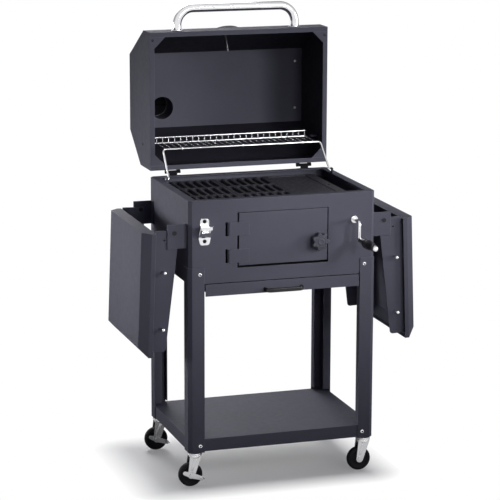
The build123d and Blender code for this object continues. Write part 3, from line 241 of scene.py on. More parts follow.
class GrillStudio(bpy.types.PropertyGroup):
    """Camera, lamps and floor."""
    yaw: FloatProperty(
        name="Yaw", description="Turn of the camera to the right of the grill's depth",
        default=0.313218, subtype="ANGLE")
    pitch: FloatProperty(
        name="Pitch", description="Tilt of the camera below the horizon",
        default=0.214241, subtype="ANGLE")
    roll: FloatProperty(
        name="Roll", description="Turn of the camera about its view",
        default=0.002766, subtype="ANGLE")
    distance: FloatProperty(
        name="Distance", description="From the camera to its target",
        default=6.98213, unit="LENGTH")
    target: FloatVectorProperty(
        name="Target", description="Point the camera looks at",
        default=(-0.03456, FIREBOX_Y, 0.68387), size=3, subtype="XYZ", unit="LENGTH")
    lens: FloatProperty(
        name="Lens", description="Focal length on a 36 mm wide square film, in millimetres",
        default=160.912, min=10)
    key: FloatProperty(
        name="Key", description="Gridded softbox at the right front, over the lid",
        default=2.5, unit="POWER")
    front: FloatProperty(
        name="Front", description="Gridded softbox facing the door",
        default=1.0, unit="POWER")
    right: FloatProperty(
        name="Right", description="Gridded softbox facing the right front corner",
        default=2.3, unit="POWER")
    left: FloatProperty(
        name="Left", description="Gridded softbox behind the left table",
        default=1.1, unit="POWER")
    table: FloatProperty(
        name="Table", description="Gridded softbox facing the left table",
        default=1.6, unit="POWER")
    top: FloatProperty(
        name="Top", description="Softbox over the back",
        default=19, unit="POWER")
    back: FloatProperty(
        name="Back", description="Gridded softbox at the back, over the shelf",
        default=5, unit="POWER")
    ambient: FloatVectorProperty(
        name="Ambient", description="Cool light from all round",
        default=(0.025, 0.026, 0.06, 1), size=4, min=0, max=1, subtype="COLOR")
    mirror_front: FloatVectorProperty(
        name="Mirrored front", description="Surround before the grill as it shows in gloss and glass",
        default=(1, 1, 1, 1), size=4, min=0, max=1, subtype="COLOR")
    mirror_back: FloatVectorProperty(
        name="Mirrored back", description="Surround behind the grill as it shows in gloss and glass",
        default=(0.4, 0.4, 0.41, 1), size=4, min=0, max=1, subtype="COLOR")
    floor: FloatVectorProperty(
        name="Floor", description="Pale studio floor",
        default=(0.9, 0.9, 0.9, 1), size=4, min=0, max=1, subtype="COLOR")
    bounce: FloatVectorProperty(
        name="Floor bounce", description="Floor as it lights the grill from below",
        default=(0.2, 0.2, 0.22, 1), size=4, min=0, max=1, subtype="COLOR")


# Materials

def start_finish(name):
    """New node material: the material, its tree, its surface and its object coordinates."""
    finish = bpy.data.materials.new(name)
    finish.use_nodes = True
    tree = finish.node_tree
    place = tree.nodes.new("ShaderNodeTexCoord").outputs["Object"]
    return finish, tree, tree.nodes["Principled BSDF"], place


def feed(tree, socket, value):
    """Links a socket to another one, or gives it a plain value."""
    if isinstance(value, bpy.types.NodeSocket):
        tree.links.new(value, socket)
    else:
        socket.default_value = value


def reckon(tree, operation, *numbers):
    """Result of a sum on numbers."""
    node = tree.nodes.new("ShaderNodeMath")
    node.operation = operation
    for socket, number in zip(node.inputs, numbers):
        feed(tree, socket, number)
    return node.outputs["Value"]


def reckon_vector(tree, operation, *vectors):
    """Result of a sum on vectors."""
    node = tree.nodes.new("ShaderNodeVectorMath")
    node.operation = operation
    for socket, vector in zip(node.inputs, vectors):
        feed(tree, socket, vector)
    return node.outputs["Value" if operation in ("DOT_PRODUCT", "LENGTH") else "Vector"]


def noise(tree, place, scale, detail, stretch=None):
    """Noise over the object; stretch slows it along an axis."""
    if stretch:
        mapping = tree.nodes.new("ShaderNodeMapping")
        mapping.inputs["Scale"].default_value = stretch
        tree.links.new(place, mapping.inputs["Vector"])
        place = mapping.outputs["Vector"]
    node = tree.nodes.new("ShaderNodeTexNoise")
    node.inputs["Scale"].default_value = scale
    node.inputs["Detail"].default_value = detail
    tree.links.new(place, node.inputs["Vector"])
    return node.outputs["Fac"]


def remap(tree, value, low, high, to_low, to_high):
    """Value brought from one range to another, and held inside it."""
    node = tree.nodes.new("ShaderNodeMapRange")
    feed(tree, node.inputs["Value"], value)
    for name, number in (("From Min", low), ("From Max", high), ("To Min", to_low), ("To Max", to_high)):
        feed(tree, node.inputs[name], number)
    return node.outputs["Result"]


def vary(tree, value, to_low, to_high):
    """Noise brought from the range that most of it fills to another."""
    low, high = 0.3, 0.7
    return remap(tree, value, low, high, to_low, to_high)


def mix(tree, factor, first, second):
    """Blend of two colours, each a colour or a socket."""
    node = tree.nodes.new("ShaderNodeMix")
    node.data_type = "RGBA"
    feed(tree, node.inputs["Factor"], factor)
    for name, colour in (("A", first), ("B", second)):
        feed(tree, next(s for s in node.inputs if s.name == name and s.type == "RGBA"), colour)
    return next(s for s in node.outputs if s.type == "RGBA")


def soft_edges(tree, radius):
    """Normal that rounds the edges, and a mask that is 1 on them, through which the finishes paint a
    highlight.
    """
    bevel = tree.nodes.new("ShaderNodeBevel")
    bevel.samples = 6
    bevel.inputs["Radius"].default_value = radius
    rounded = bevel.outputs["Normal"]
    face = tree.nodes.new("ShaderNodeNewGeometry").outputs["Normal"]
    flat, edge = 0.98, 0.8
    return rounded, remap(tree, reckon_vector(tree, "DOT_PRODUCT", rounded, face), flat, edge, 0, 1)


def bump(tree, surface, normal, height, distance, strength):
    """Relief on a surface with softened edges."""
    node = tree.nodes.new("ShaderNodeBump")
    node.inputs["Strength"].default_value = strength
    node.inputs["Distance"].default_value = distance
    tree.links.new(height, node.inputs["Height"])
    tree.links.new(normal, node.inputs["Normal"])
    tree.links.new(node.outputs["Normal"], surface.inputs["Normal"])


def shade(colour, amount):
    """The colour, darker or paler."""
    return tuple(min(1.0, part * amount) for part in colour[:3]) + (1.0,)


def facing_in(tree, place, centre):
    """Mask that is 1 on the slopes and sides inside a hollow form, and 0 on its back wall and outside: where
    painted shade goes.
    """
    normal = place.node.outputs["Normal"]
    inside = reckon_vector(tree, "DOT_PRODUCT", normal, reckon_vector(tree, "SUBTRACT", centre, place))
    lean = tree.nodes.new("ShaderNodeSeparateXYZ")
    tree.links.new(normal, lean.inputs["Vector"])
    inner, wall, slope = 0.001, -0.97, -0.9
    return reckon(tree, "MULTIPLY", remap(tree, inside, 0, inner, 0, 1),
                  remap(tree, lean.outputs["Y"], wall, slope, 0, 1))


def coat_finish(finishes, name, hollow=None):
    """Satin powder coat: orange peel, clouds, a thinner, paler coat on edges that is also a painted
    highlight, and painted shade inside a hollow form.
    """
    finish, tree, surface, place = start_finish(name)
    normal, edges = soft_edges(tree, radius=0.0014)
    drift = vary(tree, noise(tree, place, scale=5, detail=3), 0, 1)
    clouds = mix(tree, drift, shade(finishes.coat, 0.94), shade(finishes.coat, 1.06))
    bare, full, cover = 0.62, 0.75, 0.35
    grains = remap(tree, noise(tree, place, scale=1400, detail=1), bare, full, 0, cover)
    specks = mix(tree, grains, clouds, shade(finishes.coat, 1.5))
    # Painted highlight along the edges, partly a thinner coat there
    colour = mix(tree, edges, specks, tuple(finishes.coat_edge))
    # Painted shade on the slopes and sides inside the lid
    if hollow:
        colour = mix(tree, facing_in(tree, place, hollow), colour, tuple(finishes.smoked))
    tree.links.new(colour, surface.inputs["Base Color"])
    surface.inputs["Specular IOR Level"].default_value = 0.15
    rough = finishes.coat_roughness
    sheen = vary(tree, noise(tree, place, scale=60, detail=3), rough - 0.05, rough + 0.06)
    tree.links.new(sheen, surface.inputs["Roughness"])
    peel = noise(tree, place, scale=650, detail=2)
    bump(tree, surface, normal, peel, distance=0.00012, strength=0.5)
    return finish


def metal_finish(name, colour, low, high, scratch):
    """Plated metal with faint streaks, an uneven polish and a painted highlight on its edges."""
    finish, tree, surface, place = start_finish(name)
    surface.inputs["Metallic"].default_value = 1.0
    normal, edges = soft_edges(tree, radius=0.0007)
    cloud = vary(tree, noise(tree, place, scale=25, detail=3), 0, 1)
    tint = mix(tree, cloud, shade(colour, 0.93), shade(colour, 1.05))
    # Painted highlight: a paler colour on the edges
    tree.links.new(mix(tree, edges, tint, shade(colour, 1.12)), surface.inputs["Base Color"])
    streaks = noise(tree, place, scale=220, detail=4, stretch=(1, 1, 0.08))
    tree.links.new(vary(tree, streaks, low, high), surface.inputs["Roughness"])
    bump(tree, surface, normal, streaks, distance=scratch, strength=0.6)
    return finish


def iron_finish(finishes):
    """Sand-cast iron under matte enamel, with a painted highlight on its edges."""
    finish, tree, surface, place = start_finish("cast_iron_enamel")
    normal, edges = soft_edges(tree, radius=0.0016)
    pits = noise(tree, place, scale=420, detail=5)
    tint = mix(tree, pits, shade(finishes.iron, 0.7), shade(finishes.iron, 1.35))
    # Painted highlight: a paler colour on the edges
    tree.links.new(mix(tree, edges, tint, shade(finishes.iron, 2.2)), surface.inputs["Base Color"])
    surface.inputs["Specular IOR Level"].default_value = 0.2
    patches = vary(tree, noise(tree, place, scale=90, detail=3), 0.42, 0.6)
    tree.links.new(patches, surface.inputs["Roughness"])
    bump(tree, surface, normal, pits, distance=0.0005, strength=0.5)
    return finish


def moulded_finish(name, colour, grain, low, high, gloss):
    """Plastic, rubber, ink or near-black steel with a fine grain and a painted highlight on its edges."""
    finish, tree, surface, place = start_finish(name)
    surface.inputs["Specular IOR Level"].default_value = gloss
    normal, edges = soft_edges(tree, radius=0.0009)
    cloud = noise(tree, place, scale=40, detail=3)
    tint = mix(tree, cloud, shade(colour, 0.8), shade(colour, 1.25))
    # Painted highlight: a paler colour on the edges
    tree.links.new(mix(tree, edges, tint, shade(colour, 2.0)), surface.inputs["Base Color"])
    tree.links.new(vary(tree, cloud, low, high), surface.inputs["Roughness"])
    grit = noise(tree, place, scale=grain, detail=2)
    bump(tree, surface, normal, grit, distance=0.0001, strength=0.5)
    return finish


def dial_finish(finishes):
    """Printed dial: pale enamel with faint mottling."""
    finish, tree, surface, place = start_finish("dial_enamel")
    mottle = noise(tree, place, scale=300, detail=3)
    tint = mix(tree, mottle, shade(finishes.dial, 0.94), shade(finishes.dial, 1.04))
    tree.links.new(tint, surface.inputs["Base Color"])
    tree.links.new(vary(tree, mottle, 0.3, 0.4), surface.inputs["Roughness"])
    return finish


def glass_finish():
    """Clear dial glass with faint smears."""
    finish, tree, surface, place = start_finish("dial_glass")
    surface.inputs["Transmission Weight"].default_value = 1.0
    surface.inputs["IOR"].default_value = 1.05
    surface.inputs["Base Color"].default_value = (1, 1, 1, 1)
    clean, smeared = 0.4, 0.7
    smears = remap(tree, noise(tree, place, scale=60, detail=3), clean, smeared, 0.01, 0.05)
    tree.links.new(smears, surface.inputs["Roughness"])
    return finish


def finish_of(name):
    """The named finish, made at its first use."""
    made = bpy.data.materials.get(name)
    if made:
        return made
    finishes = bpy.context.scene.grill_finishes
    for table, make in ((METALS, metal_finish), (MOULDED, moulded_finish)):
        if name in table:
            colour, share, *feel = table[name]
            return make(name, shade(getattr(finishes, colour), share), *feel)
    if name == "powder_coat_satin":
        return coat_finish(finishes, name)
    # Powder coat with painted shade inside the lid
    if name == "powder_coat_smoked":
        return coat_finish(finishes, name, middle("lid_shell"))
    if name == "cast_iron_enamel":
        return iron_finish(finishes)
    if name == "dial_enamel":
        return dial_finish(finishes)
    if name == "dial_glass":
        return glass_finish()
    raise ValueError(f"no finish is called {name}")


def coat_nodes(names, finish):
    """Puts a finish on CAD solids."""
    for name in names:
        piece = frame["nodes"][name]
        for slot in piece.material_slots:
            slot.material = finish_of(finish)


# Shapes

def turn(bm, profile, centre, axis, steps=48, ring=False):
    """Lathe-turned form: profile gives (distance along the axis, radius), a ring's profile is closed."""
    axis = axis.normalized()
    side = axis.orthogonal().normalized()
    corners = [bm.verts.new(centre + axis * along + side * radius) for along, radius in profile]
    edges = [bm.edges.new(pair) for pair in zip(corners, corners[1:])]
    if ring:
        edges.append(bm.edges.new((corners[-1], corners[0])))
    bmesh.ops.spin(bm, geom=corners + edges, cent=centre, axis=axis, angle=2 * pi, steps=steps,
                   use_merge=True)


def shifted(profile, along, radius=0):
    """The profile, moved along its axis and out from it."""
    return [(along + point, radius + reach) for point, reach in profile]


def scaled(profile, rise, radius):
    """The profile of a head, from shares to its size."""
    return tuple((rise * along, radius * reach) for along, reach in profile)


def raise_face(bm, corners, lift):
    """Flat plate on the corners, thickened by a lift; gives its raised face."""
    panel = bm.faces.new([bm.verts.new(corner) for corner in corners])
    raised = bmesh.ops.extrude_face_region(bm, geom=[panel])["geom"]
    lifted = [part for part in raised if isinstance(part, bmesh.types.BMVert)]
    bmesh.ops.translate(bm, verts=lifted, vec=lift)
    return next(part for part in raised if isinstance(part, bmesh.types.BMFace))


def facing(centre, axis):
    """Matrix that brings a form made upright at the origin to a place, upright along an axis."""
    turned = axis.to_track_quat("Z", "Y").to_matrix().to_4x4()
    return Matrix.Translation(centre) @ turned


def add_piece(bm, name, body, finish, sharp=radians(35)):
    """Closes the mesh, shades it, gives it a finish and lets it ride on a body."""
    bmesh.ops.remove_doubles(bm, verts=bm.verts, dist=1e-6)
    bmesh.ops.recalc_face_normals(bm, faces=bm.faces)
    for face in bm.faces:
        face.smooth = True
    for edge in bm.edges:
        edge.smooth = edge.calc_face_angle(0) < sharp
    mesh = bpy.data.meshes.new(name)
    bm.to_mesh(mesh)
    bm.free()
    piece = bpy.data.objects.new(name, mesh)
    bpy.context.scene.collection.objects.link(piece)
    mesh.materials.append(finish_of(finish))
    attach(piece, body)
    return piece


class GRILL_OT_sheet_metal(bpy.types.Operator):
    """Powder coat on the firebox, lid, legs, shelf, door, drawer and tables, with painted shade inside the
    lid
    """
    bl_idname = "grill.sheet_metal"
    bl_label = "Sheet metal"

    def execute(self, context):
        coat_nodes(COATED, "powder_coat_satin")
        coat_nodes(LID, "powder_coat_smoked")
        return {"FINISHED"}


class GRILL_OT_bright_metal(bpy.types.Operator):
    """Chrome on the handle, crank, casters and wires, plating on gears, and black oxide on bolts"""
    bl_idname = "grill.bright_metal"
    bl_label = "Bright metal"

    def execute(self, context):
        coat_nodes(POLISHED, "chrome_polished")
        coat_nodes(CASTERS, "zinc_bright")
        coat_nodes(PLATED, "zinc_plated")
        coat_nodes(BLACKENED, "black_oxide")
        return {"FINISHED"}


class GRILL_OT_castings(bpy.types.Operator):
    """Enamelled cast iron on grates and griddle, and blackened steel round the coals and on the hinges"""
    bl_idname = "grill.castings"
    bl_label = "Castings"

    def execute(self, context):
        coat_nodes(CAST, "cast_iron_enamel")
        coat_nodes(NEAR_BLACK, "steel_sooted")
        return {"FINISHED"}


class GRILL_OT_mouldings(bpy.types.Operator):
    """Moulded plastic on the knob and the drawer handle, with a ringed cap on the knob"""
    bl_idname = "grill.mouldings"
    bl_label = "Mouldings"

    def execute(self, context):
        coat_nodes(("drawer_handle",), "plastic_black")
        coat_nodes(("door_knob",), "plastic_slate")
        low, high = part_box("door_knob")
        face = Vector((middle("latch_tongue").x, low.y, (low.z + high.z) / 2))
        bm = bmesh.new()
        turn(bm, KNOB_RING, face, FORWARD, ring=True)
        turn(bm, KNOB_BUTTON, face, FORWARD)
        add_piece(bm, "knob_cap", "latch", "plastic_slate")
        return {"FINISHED"}


class GRILL_OT_wheels(bpy.types.Operator):
    """Four rubber caster wheels with grooved treads and dished hubs"""
    bl_idname = "grill.wheels"
    bl_label = "Wheels"

    def execute(self, context):
        profile = WHEEL_HALF + tuple((-along, radius) for along, radius in WHEEL_HALF[::-1])
        for corner in CORNERS:
            bm = bmesh.new()
            turn(bm, profile, middle(f"wheel_{corner}"), BACKWARD, steps=72, ring=True)
            wheel = add_piece(bm, f"tyre_{corner}", f"wheel_{corner}", "rubber_moulded",
                              sharp=radians(50))
            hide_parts(f"wheel_{corner}")
        return {"FINISHED"}


class GRILL_OT_casters(bpy.types.Operator):
    """Swivel races with black seals, and pressed ribs on the caster forks"""
    bl_idname = "grill.casters"
    bl_label = "Caster races"

    def execute(self, context):
        for corner in CORNERS:
            fork = f"fork_{corner}"
            swivel = joint_place(f"swivel_{corner}")
            bm = bmesh.new()
            turn(bm, RACE_SEAL, swivel, UP, steps=56, ring=True)
            add_piece(bm, f"race_seal_{corner}", fork, "rubber_moulded")
            bm = bmesh.new()
            for height in RACE_BEAD_HEIGHTS:
                turn(bm, shifted(RACE_BEAD, height), swivel, UP, steps=56, ring=True)
            turn(bm, RACE_CUP, swivel, UP, steps=56, ring=True)
            add_piece(bm, f"race_{corner}", fork, "chrome_polished")
            self.add_ribs(corner, swivel, joint_place(f"roll_{corner}"))
        return {"FINISHED"}

    def add_ribs(self, corner, swivel, axle):
        """Pressed rib down the middle of each fork plate."""
        plate = 0.0035
        below_swivel, above_axle = 0.021, 0.0145
        wide, narrow = 0.0058, 0.0036
        sunk, thick, rounding = 0.0004, 0.0014, 0.0009
        wheel_low, wheel_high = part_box(f"wheel_{corner}")
        top = Vector((swivel.x, 0, swivel.z - below_swivel))
        foot = Vector((axle.x, 0, axle.z + above_axle))
        across = (top - foot).normalized().cross(BACKWARD)
        outline = (top + across * wide, foot + across * narrow, foot - across * narrow, top - across * wide)
        bm = bmesh.new()
        for plate_y, way in ((wheel_low.y - plate, FORWARD), (wheel_high.y + plate, BACKWARD)):
            base = BACKWARD * plate_y - way * sunk
            cap = raise_face(bm, [base + point for point in outline], way * thick)
            bmesh.ops.bevel(bm, geom=list(cap.edges), offset=rounding, offset_type="OFFSET",
                            affect="EDGES", segments=3, profile=0.5, material=-1)
        add_piece(bm, f"fork_ribs_{corner}", f"fork_{corner}", "zinc_bright")


class GRILL_OT_grip(bpy.types.Operator):
    """Turned crank grip with ribs at its thick end"""
    bl_idname = "grill.grip"
    bl_label = "Crank grip"

    def execute(self, context):
        sizes = context.scene.grill_sizes
        low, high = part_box("crank_grip")
        length = high.y - low.y
        start = Vector(((low.x + high.x) / 2, high.y, (low.z + high.z) / 2))
        rib_rise = 0.0004
        big = (high.z - low.z) / 2 - rib_rise
        neck, bore, rounding = 0.0072, 0.0042, 0.001
        profile = [(0, bore), (0, neck - rounding), (rounding, neck)]
        belly, taper, steps = 0.62, 0.8, 25
        for step in range(1, steps):
            share = step / steps
            if share < belly:
                swell = sin(share / belly * pi / 2) ** 2
            else:
                swell = cos((share - belly) / (1 - belly) * pi / 2 * taper) ** taper
            profile.append((length * share, neck + (big - neck) * swell))
        tail = profile[-1][1]
        shoulder, end = tail * 0.94, tail * 0.86
        profile += [(length - rounding, shoulder), (length, end), (length, bore)]
        bm = bmesh.new()
        turn(bm, profile, start, FORWARD, steps=56, ring=True)
        grip = add_piece(bm, "grip_handle", "grip", "plastic_black")
        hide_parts("crank_grip")
        first_rib, rib_pitch = 0.46, 0.045
        bm = bmesh.new()
        for rib in range(sizes.grip_ribs):
            along = length * (first_rib + rib_pitch * rib)
            turn(bm, shifted(GRIP_RIB, along, big), start, FORWARD, steps=56, ring=True)
        add_piece(bm, "grip_ribs", "grip", "plastic_black")
        return {"FINISHED"}


class GRILL_OT_thermometer(bpy.types.Operator):
    """Lid thermometer: case with probe, dial with marks and numbers, needle and glass"""
    bl_idname = "grill.thermometer"
    bl_label = "Thermometer"

    def execute(self, context):
        sizes = context.scene.grill_sizes
        low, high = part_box("thermometer")
        radius = (high.x - low.x) / 2
        depth = sizes.case_depth
        slope = sizes.dial_slope
        axis = Vector((0, sin(slope), cos(slope)))
        top = high.z - radius * sin(slope)
        base = Vector((low.x + radius, low.y + radius * cos(slope), top - depth * cos(slope)))
        rim_deep, rim_wide = 0.0036, 0.0068
        plate, needle_over = 0.0004, 0.0010
        glass, glass_sunk = 0.0007, 0.0014
        floor = depth - rim_deep
        face = radius - rim_wide
        self.make_case(base, axis, radius, depth, floor)
        self.add_disc("dial_face", base, axis, face, floor, plate, "dial_enamel")
        self.make_marks(base + axis * (floor + plate), slope, face, sizes.dial_top)
        self.make_needle(base + axis * (floor + needle_over), slope, face)
        self.add_disc("dial_glass", base, axis, face, depth - glass_sunk, glass, "dial_glass")
        return {"FINISHED"}

    def add_disc(self, name, base, axis, radius, height, thick, finish):
        """Round plate across the case."""
        bm = bmesh.new()
        top = height + thick
        turn(bm, ((height, 0), (height, radius), (top, radius), (top, 0)), base, axis, steps=72)
        add_piece(bm, name, "lid", finish)

    def make_case(self, base, axis, radius, depth, floor):
        """Case with a rolled rim, and the probe behind it."""
        probe, length = 0.003, 0.056
        blunt, point = probe * 0.6, 0.002
        bm = bmesh.new()
        turn(bm, (
            (-length, 0), (-length, blunt), (point - length, probe), (0, probe),
            *shifted(CASE_FOOT, 0, radius), *shifted(CASE_RIM, depth, radius),
            (floor, radius + CASE_RIM[-1][1]), (floor, 0),
        ), base, axis, steps=72)
        case = add_piece(bm, "thermometer_case", "lid", "brushed_case")
        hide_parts("thermometer")

    def dial_place(self, centre, slope, turned, reach):
        """Matrix on the dial: turned clockwise from its top, and out from its centre."""
        lie = Matrix.Translation(centre) @ Matrix.Rotation(-slope, 4, "X")
        return lie @ Matrix.Rotation(-turned, 4, "Z") @ Matrix.Translation((0, reach, 0))

    def make_marks(self, centre, slope, face, top):
        """Ticks and plain numbers round the dial."""
        sweep = radians(270)
        small_step, large_step = 10, 50
        margin, number_inset, thick = 0.0025, 0.0145, 0.0003
        bm = bmesh.new()
        for value in range(0, top + 1, small_step):
            turned = sweep * (value / top - 0.5)
            numbered = value % large_step == 0
            wide, long = (0.0011, 0.0065) if numbered else (0.0006, 0.0038)
            place = self.dial_place(centre, slope, turned, face - margin - long / 2)
            bmesh.ops.create_cube(bm, size=1, matrix=place @ Matrix.Diagonal((wide, long, thick, 1)))
            if numbered:
                place = self.dial_place(centre, slope, turned, face - number_inset)
                self.add_number(bm, str(value), place @ Matrix.Rotation(turned, 4, "Z"))
        add_piece(bm, "dial_marks", "lid", "dial_print")

    def add_number(self, bm, words, place):
        """Raised number, upright on the dial."""
        curve = bpy.data.curves.new("number", "FONT")
        curve.body = words
        curve.size = 0.0072
        curve.extrude = 0.00015
        curve.align_x = "CENTER"
        curve.align_y = "CENTER"
        holder = bpy.data.objects.new("number", curve)
        mesh = bpy.data.meshes.new_from_object(holder)
        mesh.transform(place)
        bm.from_mesh(mesh)
        bpy.data.meshes.remove(mesh)
        bpy.data.objects.remove(holder)
        bpy.data.curves.remove(curve)

    def make_needle(self, centre, slope, face):
        """Tapered needle at the cold end of the scale, on a round hub."""
        cold = radians(-128)
        tail, tip = -0.010, face - 0.008
        wide, narrow, thick = 0.0017, 0.0004, 0.0004
        blade = ((-wide, tail, 0), (wide, tail, 0), (narrow, tip, 0), (-narrow, tip, 0))
        place = self.dial_place(centre, slope, cold, 0)
        normal = place.to_3x3() @ UP
        bm = bmesh.new()
        raise_face(bm, [place @ Vector(corner) for corner in blade], normal * thick)
        turn(bm, NEEDLE_HUB, centre, normal, steps=32)
        add_piece(bm, "dial_needle", "lid", "black_oxide")


class GRILL_OT_screws(bpy.types.Operator):
    """Button-head screws of the legs and the opener, and rivets on the lid and the hinges"""
    bl_idname = "grill.screws"
    bl_label = "Screws and rivets"

    def execute(self, context):
        sizes = context.scene.grill_sizes
        low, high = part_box("frame_screws")
        front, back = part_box("leg_front_left")[0].y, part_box("leg_back_left")[1].y
        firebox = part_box("front_panel")[0]
        above_floor = 0.03
        heights = (low.z + sizes.screw_head, firebox.z + above_floor)
        at_legs = [
            (Vector((x, y, z)), way)
            for x in (low.x + sizes.screw_head, high.x - sizes.screw_head)
            for y, way in ((front, FORWARD), (back, BACKWARD)) for z in heights
        ]
        opener_low, opener_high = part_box("bottle_opener")
        opener_plate, top_inset, foot_inset = 0.003, 0.008, 0.012
        at_opener = [
            (Vector((middle("bottle_opener").x, firebox.y - opener_plate, z)), FORWARD)
            for z in (opener_high.z - top_inset, opener_low.z + foot_inset)
        ]
        legs = self.make_screws("leg_screws", at_legs, sizes, "chrome_polished")
        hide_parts("frame_screws")
        self.make_screws("opener_screws", at_opener, sizes, "black_oxide")
        self.make_sockets(at_legs + at_opener, sizes)
        self.make_lid_rivets(sizes)
        self.make_hinge_rivets(sizes)
        return {"FINISHED"}

    def make_screws(self, name, places, sizes, finish):
        """Domed heads with a round recess, on their shanks."""
        profile = SCREW_SHANK + scaled(SCREW_HEAD, sizes.screw_rise, sizes.screw_head)
        bm = bmesh.new()
        for place, axis in places:
            turn(bm, profile, place, axis, steps=28)
        return add_piece(bm, name, "frame", finish)

    def make_sockets(self, places, sizes):
        """Dark hexagons inside the heads: painted shade standing in for the sockets."""
        radius, depth = sizes.screw_head * 0.5, sizes.screw_rise * 0.3
        up = sizes.screw_rise * 0.42
        bm = bmesh.new()
        for place, axis in places:
            bmesh.ops.create_cone(bm, cap_ends=True, segments=6, radius1=radius, radius2=radius, depth=depth,
                                  matrix=facing(place + axis * up, axis))
        add_piece(bm, "screw_sockets", "frame", "socket_black")

    def make_rivets(self, bm, places, radius, rise):
        """Low round heads on short stems."""
        stem, stem_length = radius * 0.6, 0.001
        profile = ((-stem_length, 0), (-stem_length, stem), (0, stem), *scaled(RIVET_HEAD, rise, radius))
        for place, axis in places:
            turn(bm, profile, place, axis, steps=24)

    def make_lid_rivets(self, sizes):
        """Rivets at the rim's upper corners, inside the lid and on the rack's pivots."""
        low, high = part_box("lid_shell")
        pivot = joint_place("rack_pivot")
        rim_x, rim_down = 0.285, 0.0245
        wall_x, wall_downs, sheet = 0.27, (0.1395, 0.295), 0.0015
        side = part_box("lid_right_side")[1].x
        dark = [(Vector((way * rim_x, low.y, high.z - rim_down)), FORWARD) for way in (-1, 1)]
        bright = [
            (Vector((way * wall_x, high.y - sheet, high.z - down)), FORWARD)
            for way in (-1, 1) for down in wall_downs
        ]
        coated = [(Vector((way * side, pivot.y, pivot.z)), Vector((way, 0, 0))) for way in (-1, 1)]
        for name, places, rise, finish in (
            ("rim_rivets", dark, sizes.flush_rise, "black_oxide"),
            ("lid_rivets", bright, sizes.rivet_rise, "zinc_plated"),
            ("pivot_rivets", coated, sizes.rivet_rise, "powder_coat_satin"),
        ):
            bm = bmesh.new()
            self.make_rivets(bm, places, sizes.rivet_head, rise)
            add_piece(bm, name, "lid", finish)

    def make_hinge_rivets(self, sizes):
        """Two rivets in each hinge leaf on the back of the firebox."""
        low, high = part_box("lid_hinge_leaves")
        leaf, leaf_thick, up = 0.05, 0.002, 0.014
        apart = 0.3 * leaf
        leaf_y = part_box("back_panel")[1].y + leaf_thick
        places = [
            (Vector((way * (high.x - leaf / 2 + shift), leaf_y, low.z + up)), BACKWARD)
            for way in (-1, 1) for shift in (-apart, apart)
        ]
        bm = bmesh.new()
        self.make_rivets(bm, places, sizes.rivet_head, sizes.rivet_rise)
        add_piece(bm, "hinge_rivets", "frame", "zinc_plated")


